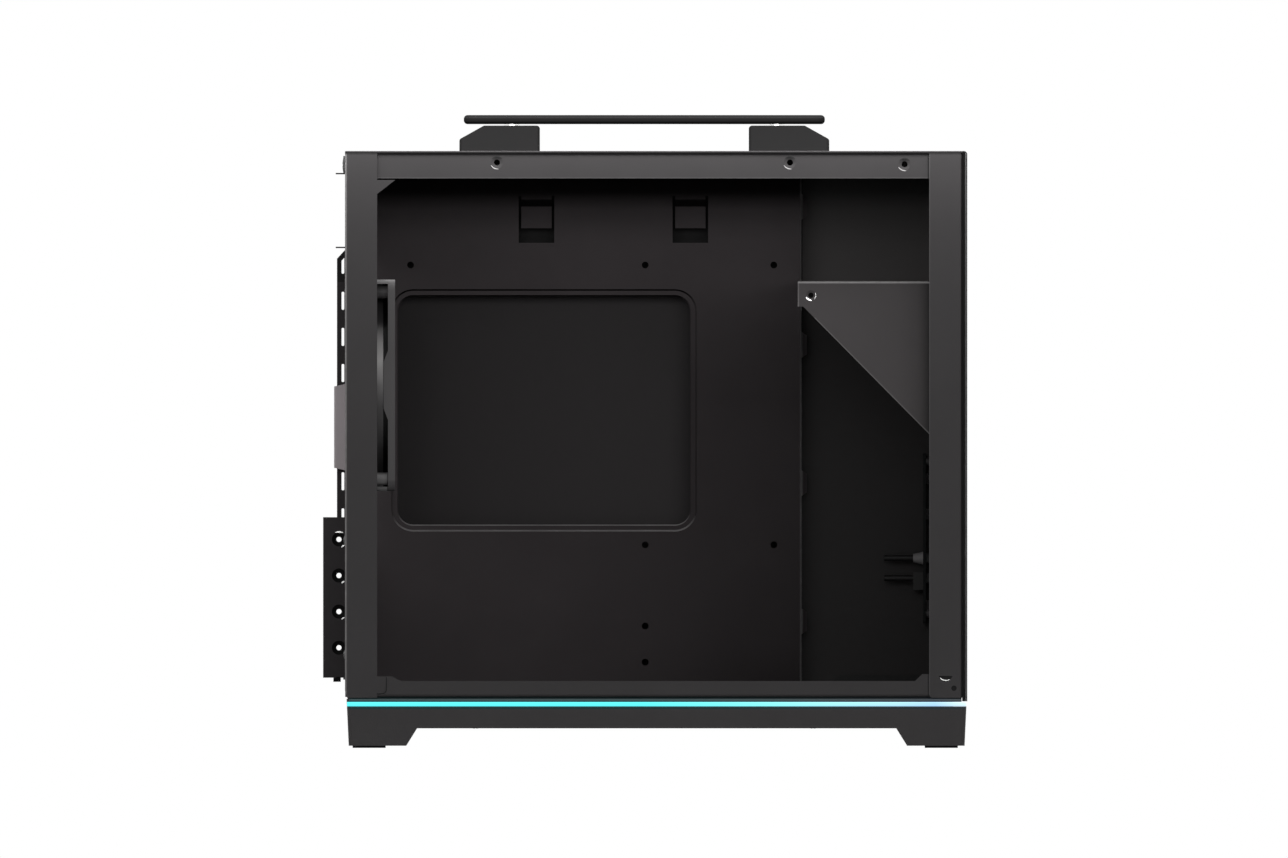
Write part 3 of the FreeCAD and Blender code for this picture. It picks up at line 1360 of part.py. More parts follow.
nodes["base_screws"] = make_base_screws()
nodes["handle_support_rear"] = make_handle_support(-1)
nodes["handle_support_front"] = make_handle_support(1)
nodes["handle_bar"] = make_handle_bar()
nodes["handle_washers"] = make_handle_washers()
nodes["handle_screws"] = make_handle_screws()
nodes["fan_frame"] = make_fan_frame()
nodes["fan_rotor"] = make_fan_rotor()
nodes["fan_stator"] = make_fan_stator()
nodes["fan_screws"] = make_fan_screws()

os.makedirs("parts", exist_ok=True)
for name, shape in nodes.items():
    shape.exportStep(f"parts/{name}.step")
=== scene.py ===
import json
import bpy
import numpy as np
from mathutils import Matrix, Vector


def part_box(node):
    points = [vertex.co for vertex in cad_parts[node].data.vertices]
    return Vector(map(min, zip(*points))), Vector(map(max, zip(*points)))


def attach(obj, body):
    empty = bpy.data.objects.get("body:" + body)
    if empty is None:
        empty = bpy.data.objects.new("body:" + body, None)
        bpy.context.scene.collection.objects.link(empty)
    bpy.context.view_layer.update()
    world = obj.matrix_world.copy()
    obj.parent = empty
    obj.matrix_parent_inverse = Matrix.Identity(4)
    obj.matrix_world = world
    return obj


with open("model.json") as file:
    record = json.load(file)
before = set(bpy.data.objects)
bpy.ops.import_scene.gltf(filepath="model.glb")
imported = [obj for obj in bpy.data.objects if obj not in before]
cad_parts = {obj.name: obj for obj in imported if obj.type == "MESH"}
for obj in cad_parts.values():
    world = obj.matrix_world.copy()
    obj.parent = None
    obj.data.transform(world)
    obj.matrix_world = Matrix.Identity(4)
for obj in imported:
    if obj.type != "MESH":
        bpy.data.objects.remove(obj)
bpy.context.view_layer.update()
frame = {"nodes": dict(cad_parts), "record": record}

cad = frame["nodes"]
mm = 0.001
slot_pitch = 20.32 * mm
black = (0.002, 0.002, 0.002)


# Places on the solids

def limits(node):
    """Low and high corner of a node's box, in metres."""
    low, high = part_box(node)
    return np.array(low), np.array(high)


def clamp_cup(row):
    """Middle of one of the slot clamp's cups as X and Z, where row 0 is the lowest."""
    from_rear, from_screws = 8.9 * mm, 6.8 * mm
    first = limits("clamp_screws")[0][2] + from_screws
    return limits("slot_clamp")[0][0] + from_rear, first + row * slot_pitch


def gusset_fold():
    """Height of the fold between the supply bracket's gusset and its shelf."""
    from_top = 12.6 * mm
    return limits("psu_bracket")[1][2] - from_top


def post_cut():
    """Middle of the round cut at the front post's foot as X and Z."""
    from_front, from_foot = 9.3 * mm, 13.8 * mm
    foot, front = limits("front_frame")
    return front[0] - from_front, foot[2] + from_foot


# Node trees

def socket(group, name, kind, way, value=None):
    """Adds a named socket to a node group, with a value to start from."""
    made = group.interface.new_socket(name=name, in_out=way, socket_type=kind)
    if value is not None:
        made.default_value = value


def feed(tree, target, given):
    """Sets a socket to a value, or joins another node's output to it."""
    if isinstance(given, bpy.types.NodeSocket):
        tree.links.new(given, target)
    else:
        target.default_value = given


def calc(tree, operation, *given):
    """Result of a Math node."""
    node = tree.nodes.new("ShaderNodeMath")
    node.operation = operation
    for target, value in zip(node.inputs, given):
        feed(tree, target, value)
    return node.outputs[0]


def above(tree, value, limit):
    """Mask of the values over a limit."""
    return calc(tree, "GREATER_THAN", value, limit)


def below(tree, value, limit):
    """Mask of the values under a limit."""
    return calc(tree, "LESS_THAN", value, limit)


def around(tree, value, middle, reach):
    """Mask of the values within reach of a middle."""
    return calc(tree, "COMPARE", value, middle, reach)


def overlap(tree, mask, *others):
    """Mask of what all the masks share: their product."""
    for other in others:
        mask = calc(tree, "MULTIPLY", mask, other)
    return mask


def noise(tree, place, scale, detail):
    """Value of a noise at a place."""
    node = tree.nodes.new("ShaderNodeTexNoise")
    feed(tree, node.inputs["Vector"], place)
    feed(tree, node.inputs["Scale"], scale)
    node.inputs["Detail"].default_value = detail
    return node.outputs["Fac"]


def spread_over(tree, value, start, end):
    """Value moved from the range between 0 and 1 to another one."""
    node = tree.nodes.new("ShaderNodeMapRange")
    for name, given in (("Value", value), ("To Min", start), ("To Max", end)):
        feed(tree, node.inputs[name], given)
    return node.outputs[0]


def share_of(tree, value, start, end):
    """How far a value is on its way from start to end, between 0 and 1."""
    node = tree.nodes.new("ShaderNodeMapRange")
    for name, given in (("Value", value), ("From Min", start), ("From Max", end)):
        feed(tree, node.inputs[name], given)
    return node.outputs[0]


def ramp(tree, value, stops):
    """Colour read off a list of (place, colour) stops."""
    node = tree.nodes.new("ShaderNodeValToRGB")
    marks = node.color_ramp.elements
    marks[0].position, marks[0].color = stops[0][0], (*stops[0][1], 1)
    marks[1].position, marks[1].color = stops[-1][0], (*stops[-1][1], 1)
    for place, colour in stops[1:-1]:
        marks.new(place).color = (*colour, 1)
    feed(tree, node.inputs[0], value)
    return node.outputs[0]


def levels_over(tree, value, *levels):
    """Grey level read off (place, level) stops."""
    return ramp(tree, value, [(place, (level,) * 3) for place, level in levels])


def tinted(tree, share, colour, other):
    """Mix of two colours by a share."""
    node = tree.nodes.new("ShaderNodeMix")
    node.data_type = "RGBA"
    mixed = (node.inputs[0], node.inputs[6], node.inputs[7])
    for target, given in zip(mixed, (share, colour, other)):
        feed(tree, target, given)
    return node.outputs[2]


def scaled(tree, colour, amount):
    """Colour made brighter or darker."""
    node = tree.nodes.new("ShaderNodeVectorMath")
    node.operation = "SCALE"
    feed(tree, node.inputs[0], colour)
    feed(tree, node.inputs["Scale"], amount)
    return node.outputs[0]


def position(tree):
    """Place on the object, whole and as its X, Y and Z."""
    place = tree.nodes.new("ShaderNodeTexCoord").outputs["Object"]
    axes = tree.nodes.new("ShaderNodeSeparateXYZ")
    tree.links.new(place, axes.inputs[0])
    return place, axes.outputs["X"], axes.outputs["Y"], axes.outputs["Z"]


def from_axis(tree, across, up, centre):
    """Distance from a straight line through a point, across two axes."""
    parts = [calc(tree, "POWER", calc(tree, "SUBTRACT", axis, at), 2.0)
             for axis, at in zip((across, up), centre)]
    return calc(tree, "SQRT", calc(tree, "ADD", *parts))


# Shared effects

def powder_coat_group():
    """Powder coat: fine orange-peel bumps, faint mottling of the colour and uneven gloss.

    Height is two noises added, one at the grain's size and one three times as wide. The
    colour is brightened and darkened by a wide noise, and the roughness by the fine one.
    """
    coarser, mottle_scale, mottle_contrast, middle = 3.0, 26.0, 5.0, 0.5
    group = bpy.data.node_groups.new("powder_coat", "ShaderNodeTree")
    socket(group, "Colour", "NodeSocketColor", "INPUT", (0.1, 0.1, 0.1, 1))
    socket(group, "Grain", "NodeSocketFloat", "INPUT", 1500.0)
    socket(group, "Mottle", "NodeSocketFloat", "INPUT", 0.1)
    socket(group, "Roughness", "NodeSocketFloat", "INPUT", 0.5)
    socket(group, "Spread", "NodeSocketFloat", "INPUT", 0.1)
    socket(group, "Colour", "NodeSocketColor", "OUTPUT")
    socket(group, "Roughness", "NodeSocketFloat", "OUTPUT")
    socket(group, "Height", "NodeSocketFloat", "OUTPUT")
    given = group.nodes.new("NodeGroupInput").outputs
    result = group.nodes.new("NodeGroupOutput").inputs
    place = position(group)[0]
    fine = noise(group, place, given["Grain"], detail=2.0)
    coarse = noise(group, place, calc(group, "DIVIDE", given["Grain"], coarser), detail=1.0)
    wide = calc(group, "SUBTRACT", noise(group, place, mottle_scale, detail=4.0), middle)
    wide = calc(group, "MULTIPLY", wide, mottle_contrast)
    shade = calc(group, "MULTIPLY_ADD", wide, given["Mottle"], 1.0)
    uneven = calc(group, "SUBTRACT", fine, middle)
    gloss = calc(group, "MULTIPLY_ADD", uneven, given["Spread"], given["Roughness"])
    feed(group, result["Colour"], scaled(group, given["Colour"], shade))
    feed(group, result["Roughness"], gloss)
    feed(group, result["Height"], calc(group, "ADD", fine, coarse))
    return group


def strip_light_group():
    """Light strip's colour along the case: cyan, then paler and bluer towards the front."""
    group = bpy.data.node_groups.new("strip_light", "ShaderNodeTree")
    socket(group, "Colour", "NodeSocketColor", "OUTPUT")
    low, high = limits("light_strip")
    along = share_of(group, position(group)[1], low[0], high[0])
    stops = [(0.0, (0.098, 0.8, 0.85)), (0.48, (0.1, 0.8, 0.85)), (0.58, (0.16, 0.81, 0.89)),
             (0.68, (0.23, 0.83, 0.9)), (0.79, (0.34, 0.76, 0.91)), (0.89, (0.39, 0.7, 0.9)),
             (0.95, (0.37, 0.61, 0.89)), (0.98, (0.52, 0.73, 0.87)), (1.0, (0.62, 0.78, 0.89))]
    result = group.nodes.new("NodeGroupOutput").inputs
    feed(group, result["Colour"], ramp(group, along, stops))
    return group


def painted_edge_light_group():
    """Painted light or shade beside an edge: full at it, gone at the reach, and broken up by a
    fine noise.
    """
    breakup_scale, least, most = 260.0, 0.55, 1.25
    group = bpy.data.node_groups.new("painted_edge_light", "ShaderNodeTree")
    socket(group, "Distance", "NodeSocketFloat", "INPUT", 1.0)
    socket(group, "Reach", "NodeSocketFloat", "INPUT", mm)
    socket(group, "Mask", "NodeSocketFloat", "OUTPUT")
    given = group.nodes.new("NodeGroupInput").outputs
    result = group.nodes.new("NodeGroupOutput").inputs
    near = share_of(group, given["Distance"], given["Reach"], 0.0)
    broken_up = noise(group, position(group)[0], breakup_scale, detail=3.0)
    feed(group, result["Mask"], overlap(group, near, spread_over(group, broken_up, least, most)))
    return group


def slope_light_group():
    """Painted light where a slope faces up, and painted shade where it faces down."""
    start, full, patch_scale, least, most = 0.2, 0.7, 90.0, 0.5, 1.2
    group = bpy.data.node_groups.new("slope_light", "ShaderNodeTree")
    socket(group, "Dust", "NodeSocketFloat", "OUTPUT")
    socket(group, "Unlit", "NodeSocketFloat", "OUTPUT")
    result = group.nodes.new("NodeGroupOutput").inputs
    axes = group.nodes.new("ShaderNodeSeparateXYZ")
    facing = group.nodes.new("ShaderNodeTexCoord").outputs["Normal"]
    group.links.new(facing, axes.inputs[0])
    patches = noise(group, position(group)[0], patch_scale, detail=3.0)
    lit_slopes = share_of(group, axes.outputs["Z"], start, full)
    feed(group, result["Dust"], overlap(group, lit_slopes, spread_over(group, patches, least, most)))
    feed(group, result["Unlit"], share_of(group, axes.outputs["Z"], -start, -full))
    return group


powder_coat = powder_coat_group()
strip_light = strip_light_group()
painted_edge_light = painted_edge_light_group()
slope_light = slope_light_group()


# Finishes

def blank(name):
    """New material, its tree and its Principled BSDF's inputs."""
    material = bpy.data.materials.new(name)
    material.use_nodes = True
    return material, material.node_tree, material.node_tree.nodes["Principled BSDF"].inputs


def shared(tree, group):
    """A group's node in a tree."""
    node = tree.nodes.new("ShaderNodeGroup")
    node.node_tree = group
    return node


def bumped(tree, surface, height, strength, depth):
    """Gives a surface bumps of a height."""
    bump = tree.nodes.new("ShaderNodeBump")
    bump.inputs["Strength"].default_value = strength
    bump.inputs["Distance"].default_value = depth
    feed(tree, bump.inputs["Height"], height)
    feed(tree, surface["Normal"], bump.outputs["Normal"])


def coated(name, colour, roughness, grain=1500.0, mottle=0.05, spread=0.12, relief=0.1,
           metallic=0.0, specular=0.15):
    """Coated or moulded surface from the powder coat group."""
    material, tree, surface = blank(name)
    coat = shared(tree, powder_coat)
    coat.inputs["Colour"].default_value = (*colour, 1)
    coat.inputs["Grain"].default_value = grain
    coat.inputs["Mottle"].default_value = mottle
    coat.inputs["Roughness"].default_value = roughness
    coat.inputs["Spread"].default_value = spread
    surface["Metallic"].default_value = metallic
    surface["Specular IOR Level"].default_value = specular
    feed(tree, surface["Base Color"], coat.outputs["Colour"])
    feed(tree, surface["Roughness"], coat.outputs["Roughness"])
    bumped(tree, surface, coat.outputs["Height"], strength=relief, depth=0.1 * mm)
    return material


def steel_sheet(name, colour, roughness, specular=0.15):
    """Powder-coated sheet."""
    return coated(name, colour, roughness, relief=0.12, specular=specular)


def matt_moulding(name):
    """Dark plastic of the plinth and of small mouldings such as the connector strip."""
    return coated(name, (0.053, 0.05, 0.051), roughness=0.55, grain=2600.0, relief=0.2)


def recoloured(material, mask, colour):
    """Mixes another colour, three levels or a node's output, into a coat by a mask."""
    tree = material.node_tree
    target = tree.nodes["Principled BSDF"].inputs["Base Color"]
    other = (*colour, 1) if isinstance(colour, tuple) else colour
    feed(tree, target, tinted(tree, mask, target.links[0].from_socket, other))


def paint_edge_light(material, colour, reach, **edge):
    """Paints light or shade into a coat beside an edge that is given by its places along one or
    two axes.
    """
    tree = material.node_tree
    axes = dict(zip("xyz", position(tree)[1:]))
    far = 0.0
    for axis, at in edge.items():
        away = calc(tree, "ABSOLUTE", calc(tree, "SUBTRACT", axes[axis], at))
        far = calc(tree, "MAXIMUM", far, away)
    edge_light = shared(tree, painted_edge_light)
    edge_light.inputs["Reach"].default_value = reach
    feed(tree, edge_light.inputs["Distance"], far)
    recoloured(material, edge_light.outputs["Mask"], colour)


def paint_slope_light(material, painted_light, shadow):
    """Gives a coat's upward slopes a pale colour as painted light and its downward ones a dark
    colour as painted shade.
    """
    lit_slopes = shared(material.node_tree, slope_light)
    recoloured(material, lit_slopes.outputs["Dust"], painted_light)
    recoloured(material, lit_slopes.outputs["Unlit"], shadow)


def roof_shadow(tree, z):
    """Mask of the painted shadow, black below the roof's rail, by height on the board tray."""
    low, high = limits("board_tray")
    return levels_over(tree, share_of(tree, z, low[2], high[2]), (0.0, 0.0), (0.86, 0.0),
                       (0.9, 0.17), (0.917, 0.57), (0.931, 0.95), (1.0, 1.0))


def glowing_moulding(name):
    """Plinth's plastic: painted shade in the joints beside the strip, a pale lip painted as lit
    by the strip, and a painted glow of the strip's light seeping in.

    The levels go by height, from a little below the strip to the plinth's top.
    """
    margin, end = 2 * mm, 1 * mm
    material = matt_moulding(name)
    tree = material.node_tree
    surface = tree.nodes["Principled BSDF"].inputs
    _, x, _, z = position(tree)
    strip = limits("light_strip")[0]
    up = share_of(tree, z, strip[2] - margin, limits("base")[1][2])
    beside = above(tree, x, strip[0] + end)
    shadow = levels_over(tree, up, (0.0, 0.0), (0.04, 0.0), (0.08, 0.85), (0.7, 0.85),
                       (0.73, 0.0), (0.84, 0.0), (0.87, 0.9), (1.0, 0.9))
    painted_light = levels_over(tree, up, (0.0, 0.0), (0.7, 0.0), (0.73, 1.0), (0.84, 1.0),
                       (0.87, 0.0), (1.0, 0.0))
    painted_glow = levels_over(tree, up, (0.0, 0.0), (0.06, 0.012), (0.2, 0.035), (0.3, 0.05),
                       (0.62, 0.05), (0.7, 0.03), (0.74, 0.045), (0.83, 0.03),
                       (0.87, 0.008), (1.0, 0.004))
    # painted shade in the joints beside the strip, and painted light on the lip above it
    recoloured(material, overlap(tree, shadow, beside), (0.006, 0.008, 0.009))
    recoloured(material, overlap(tree, painted_light, beside), (0.085, 0.09, 0.095))
    # painted glow: the strip's light shown as emission on the plastic
    light = shared(tree, strip_light).outputs["Colour"]
    feed(tree, surface["Emission Color"], scaled(tree, light, overlap(tree, painted_glow, beside)))
    surface["Emission Strength"].default_value = 1.0
    return material


def lit_diffuser(name):
    """Milky strip lit from behind, a little brighter along its upper edge."""
    haze_scale, least, most = 400.0, 0.35, 0.5
    material, tree, surface = blank(name)
    place, _, _, z = position(tree)
    low, high = limits("light_strip")
    level = levels_over(tree, share_of(tree, z, low[2], high[2]), (0.0, 0.55), (0.12, 0.72),
                        (0.3, 0.85), (0.7, 0.83), (0.8, 1.0), (1.0, 1.0))
    light = shared(tree, strip_light).outputs["Colour"]
    feed(tree, surface["Emission Color"], scaled(tree, light, level))
    surface["Emission Strength"].default_value = 1.5
    surface["Base Color"].default_value = (0.02, 0.03, 0.03, 1)
    surface["Specular IOR Level"].default_value = 0.1
    haze = noise(tree, place, haze_scale, detail=2.0)
    feed(tree, surface["Roughness"], spread_over(tree, haze, least, most))
    return material


def tinted_glass(name):
    """Dark pane: black printed border, wipe marks in its gloss and a ground outer edge."""
    border, rim = 9 * mm, 0.1 * mm
    printed, smoke = (0.004, 0.004, 0.004, 1), (0.2, 0.21, 0.215, 1)
    wipe_scale, least, most, ground_roughness = 40.0, 0.02, 0.06, 0.6
    material, tree, surface = blank(name)
    place, x, y, z = position(tree)
    low, high = limits("front_glass")
    middle, half = (low + high) / 2, (high - low) / 2

    def inside(margin):
        """Mask of the pane without a margin round it."""
        return overlap(tree, around(tree, y, middle[1], half[1] - margin),
                       around(tree, z, middle[2], half[2] - margin))

    clear = tinted(tree, inside(border), printed, smoke)
    ground = levels_over(tree, share_of(tree, x, low[0], high[0]),
                         (0.0, 0.003), (0.56, 0.003), (0.61, 0.9), (1.0, 0.9))
    body = inside(rim)
    feed(tree, surface["Base Color"], tinted(tree, body, ground, clear))
    wiped = spread_over(tree, noise(tree, place, wipe_scale, detail=2.0), least, most)
    at_rim = calc(tree, "SUBTRACT", 1.0, body)
    gloss = calc(tree, "MULTIPLY_ADD", at_rim, ground_roughness, wiped)
    feed(tree, surface["Roughness"], gloss)
    feed(tree, surface["Coat Weight"], body)
    surface["Transmission Weight"].default_value = 0.9
    surface["IOR"].default_value = 1.2
    return material


def woven_filter(name):
    """Fine black mesh: threads along both ways as crossed sine waves in height and colour."""
    thread, darkest, palest = 0.9 * mm, 0.004, 0.016
    material, tree, surface = blank(name)
    _, x, y, _ = position(tree)
    waves = [calc(tree, "SINE", calc(tree, "MULTIPLY", axis, 2 * np.pi / thread))
             for axis in (x, y)]
    weave = calc(tree, "MAXIMUM", *waves)
    bumped(tree, surface, weave, strength=0.5, depth=0.2 * mm)
    feed(tree, surface["Base Color"], spread_over(tree, weave, darkest, palest))
    surface["Roughness"].default_value = 0.7
    return material


def tray_coat(name):
    """Tray's steel, with little gloss, painted light and shade on its slopes and a painted
    highlight along its front edge.

    It is painted black below the rail as shadow, and dim towards the foot of its front part
    as painted shade.
    """
    tabs, edge_light = 3 * mm, 1.1 * mm
    material = steel_sheet(name, (0.083, 0.0735, 0.0767), roughness=0.65, specular=0.03)
    tree = material.node_tree
    _, x, _, z = position(tree)
    low, high = limits("board_tray")
    # painted shade: black under the roof's rail, and dim towards the foot of the front part
    foot = levels_over(tree, share_of(tree, z, low[2], high[2]), (0.0, 0.8), (0.1, 0.65),
                       (0.25, 0.6), (0.55, 0.55), (0.78, 0.05), (1.0, 0.0))
    front = levels_over(tree, share_of(tree, x, low[0], high[0]), (0.0, 0.0), (0.3, 0.3),
                        (0.48, 0.5), (0.66, 0.65), (0.81, 0.85), (1.0, 1.0))
    shadow_mask = calc(tree, "MAXIMUM", roof_shadow(tree, z), overlap(tree, foot, front))
    recoloured(material, shadow_mask, (0.002, 0.0015, 0.0015))
    # painted light on upward slopes and painted shade on downward ones
    paint_slope_light(material, (0.3, 0.29, 0.29), (0.005, 0.0045, 0.0045))
    # painted highlight along the tray's front edge
    paint_edge_light(material, (0.2, 0.195, 0.195), edge_light, x=high[0] - tabs)
    return material


def clamp_coat(name):
    """Clamp's steel, with painted shade blackening the cup round each of its holes."""
    cup, rim = 4.1 * mm, 0.3 * mm
    material = steel_sheet(name, (0.04, 0.0365, 0.038), roughness=0.6, specular=0.06)
    tree = material.node_tree
    _, x, _, z = position(tree)
    column, lowest = clamp_cup(0)
    up = calc(tree, "SUBTRACT", z, lowest)
    row = calc(tree, "WRAP", up, slot_pitch / 2, -slot_pitch / 2)
    far = from_axis(tree, x, row, (column, 0.0))
    # painted shade in the cups
    recoloured(material, share_of(tree, far, cup, cup - rim), black)
    return material


def bracket_coat(name):
    """Bracket's steel: painted shade beside the front post and painted highlights along the
    gusset's edges.

    The slope's distance is taken across it, from the foot of the gusset at its front.
    """
    shade_width, shade_depth = 8 * mm, 0.75
    slope_normal, slope_highlight = (0.7106, 0.7035), 0.9 * mm
    gusset_depth, slope_top = 2 * mm, 20 * mm
    top_highlight, rear_highlight = 1.1 * mm, 0.9 * mm
    material = steel_sheet(name, (0.064, 0.059, 0.06), roughness=0.55)
    tree = material.node_tree
    _, x, y, z = position(tree)
    low, high = limits("psu_bracket")
    fold, post = gusset_fold(), limits("front_frame")[0][0]
    # painted shade beside the front post
    shade = calc(tree, "POWER", share_of(tree, x, post - shade_width, post), 2.0)
    recoloured(material, overlap(tree, shade, shade_depth), (0.006, 0.0055, 0.0055))
    # painted highlight along the gusset's sloping edge
    across = [calc(tree, "MULTIPLY", calc(tree, "SUBTRACT", axis, at), part)
              for axis, at, part in zip((x, z), (high[0], low[2]), slope_normal)]
    rim = share_of(tree, calc(tree, "ADD", *across), slope_highlight, 0.0)
    rim = overlap(tree, rim, below(tree, y, low[1] + gusset_depth),
                  below(tree, z, fold - slope_top))
    recoloured(material, rim, (0.17, 0.165, 0.165))
    # painted highlights along the fold and the rear edge
    paint_edge_light(material, (0.38, 0.37, 0.37), top_highlight, y=low[1], z=fold)
    paint_edge_light(material, (0.2, 0.19, 0.19), rear_highlight, x=low[0], y=low[1])
    return material


def side_panel_coat(name):
    """Side panel's coat: full outside, dark on the inner face as painted shade.

    The inner face has a painted shade tone above and below the supply shelf's height, behind the
    tray and ahead of it, and it is painted black below the roof's rail as shadow.
    """
    tabs, start, full = 2.5 * mm, 0.3 * mm, 0.5 * mm
    material = steel_sheet(name, (0.062, 0.058, 0.06), roughness=0.5)
    tree = material.node_tree
    _, x, y, z = position(tree)
    outer = limits("right_panel")[1][1]
    # painted shade: tones of the inner face by the shelf and the tray, and black under the roof's
    # rail
    over_shelf = above(tree, z, gusset_fold())
    behind = tinted(tree, over_shelf, (0.021, 0.018, 0.019, 1), (0.0015, 0.001, 0.001, 1))
    ahead = tinted(tree, over_shelf, (0.003, 0.002, 0.002, 1), (0.058, 0.053, 0.053, 1))
    past_tray = above(tree, x, limits("board_tray")[1][0] - tabs)
    inner = tinted(tree, past_tray, behind, ahead)
    inner = tinted(tree, roof_shadow(tree, z), inner, (0.001, 0.001, 0.001, 1))
    recoloured(material, share_of(tree, y, outer - start, outer - full), inner)
    return material


def cover_coat(name):
    """Top cover's coat, with its edge under the upper face painted dark as shade."""
    start, full = 0.2 * mm, 0.45 * mm
    material = steel_sheet(name, (0.062, 0.058, 0.06), roughness=0.5)
    tree = material.node_tree
    z, top = position(tree)[3], limits("top_cover")[1][2]
    # painted shade along the cover's edge
    recoloured(material, share_of(tree, z, top - start, top - full), (0.014, 0.013, 0.0135))
    return material


def bar_coat(name):
    """Handle bar's coat: painted highlight below its upper edge and painted shade, nearly black,
    underneath.
    """
    material = coated(name, (0.034, 0.033, 0.0333), roughness=0.6, specular=0.01)
    tree = material.node_tree
    low, high = limits("handle_bar")
    up = share_of(tree, position(tree)[3], low[2], high[2])
    # painted shade underneath and painted highlight below the upper edge
    shadow = levels_over(tree, up, (0.0, 1.0), (0.12, 0.9), (0.35, 0.25), (0.5, 0.0), (1.0, 0.0))
    painted_light = levels_over(tree, up, (0.0, 0.0), (0.6, 0.0), (0.72, 1.0), (0.86, 1.0),
                       (0.95, 0.0), (1.0, 0.0))
    recoloured(material, shadow, black)
    recoloured(material, painted_light, (0.075, 0.074, 0.075))
    return material


def lead_jacket(name):
    """Black lead, with a grey strain relief at the board on the upper one."""
    relief_length, margin = 5.6 * mm, 1 * mm
    material = coated(name, (0.012, 0.0115, 0.0115), roughness=0.5)
    tree = material.node_tree
    _, x, _, z = position(tree)
    low, high = limits("lead_upper")
    relief = overlap(tree, above(tree, x, high[0] - relief_length),
                     above(tree, z, low[2] - margin))
    recoloured(material, relief, (0.2, 0.193, 0.195))
    return material


def foot_shade(tree):
    """Mask of the painted shade at the posts' feet: in the cut and hole in front, along the seam
    at the rear.

    The cut is the lower part of a disc. The seam is the line at a set distance from a quarter
    plane, so it comes down the post and turns round towards the rear.
    """
    cut_radius, cut_top = 4.2 * mm, 12.3 * mm
    hole_radius, hole_from_front, hole_height = 1.5 * mm, 4.6 * mm, 5.4 * mm
    seam_radius, seam_half = 2.4 * mm, 0.22 * mm
    seam_from_rear, seam_height, seam_top, seam_width = 20.9 * mm, 4.7 * mm, 11.7 * mm, 3 * mm
    face_depth = 1 * mm
    _, x, y, z = position(tree)
    (_, _, foot), (front, _, _) = limits("front_frame")
    cut = overlap(tree, below(tree, from_axis(tree, x, z, post_cut()), cut_radius),
                  below(tree, z, foot + cut_top))
    hole = from_axis(tree, x, z, (front - hole_from_front, foot + hole_height))
    hole = below(tree, hole, hole_radius)
    turn = limits("top_cover")[0][0] + seam_from_rear
    past = (calc(tree, "SUBTRACT", x, turn), calc(tree, "SUBTRACT", foot + seam_height, z))
    past = [calc(tree, "MAXIMUM", value, 0.0) for value in past]
    seam = around(tree, from_axis(tree, *past, (0.0, 0.0)), seam_radius, seam_half)
    seam = overlap(tree, seam, below(tree, z, foot + seam_top), around(tree, x, turn, seam_width))
    marks = calc(tree, "MAXIMUM", calc(tree, "MAXIMUM", cut, hole), seam)
    return overlap(tree, marks, below(tree, y, limits("top_frame")[0][1] + face_depth))


def frame_coat(name):
    """Frame's steel: painted highlights on inner edges, painted shade in joints and at the feet.

    The floor's far rail is painted black as shade in the chamber between tray and front post.
    """
    edge_highlight, highlight, painted_shade = (0.1, 0.097, 0.098), (0.3, 0.29, 0.29), (0.012, 0.0115, 0.0115)
    edge_highlight_reach, highlight_reach, joint_shade_reach, top_reach = 0.6 * mm, 1.0 * mm, 0.8 * mm, 1.2 * mm
    into_cover, into_side, joint_gap = 0.3 * mm, 0.5 * mm, 0.4 * mm
    chamber_middle, chamber_half, rail_top = 34 * mm, 33 * mm, 14 * mm
    material = steel_sheet(name, (0.046, 0.0435, 0.0445), roughness=0.55)
    rail, rear = limits("top_frame")[0], limits("top_cover")[0]
    post, post_top = limits("front_frame")
    # painted highlights on the rail's lower edge, the post's inner edge and the rear post's edge
    paint_edge_light(material, edge_highlight, edge_highlight_reach, y=rail[1], z=rail[2])
    paint_edge_light(material, edge_highlight, edge_highlight_reach, x=post[0], y=post[1])
    paint_edge_light(material, highlight, highlight_reach, x=rear[0] + into_cover, y=rear[1] + into_side)
    # painted shade in the joint beside the post and under the cover's edge
    paint_edge_light(material, painted_shade, joint_shade_reach, x=post[0] - joint_gap, y=rail[1])
    paint_edge_light(material, painted_shade, top_reach, y=post[1], z=post_top[2])
    tree = material.node_tree
    # painted shade in the feet's cut, hole and seam
    recoloured(material, foot_shade(tree), (0.005, 0.005, 0.005))
    _, x, y, z = position(tree)
    # painted shade on the far rail
    far_rail = overlap(tree, above(tree, y, limits("board_tray")[0][1]),
                       around(tree, x, post[0] - chamber_middle, chamber_half),
                       below(tree, z, post[2] + rail_top))
    recoloured(material, far_rail, black)
    return material


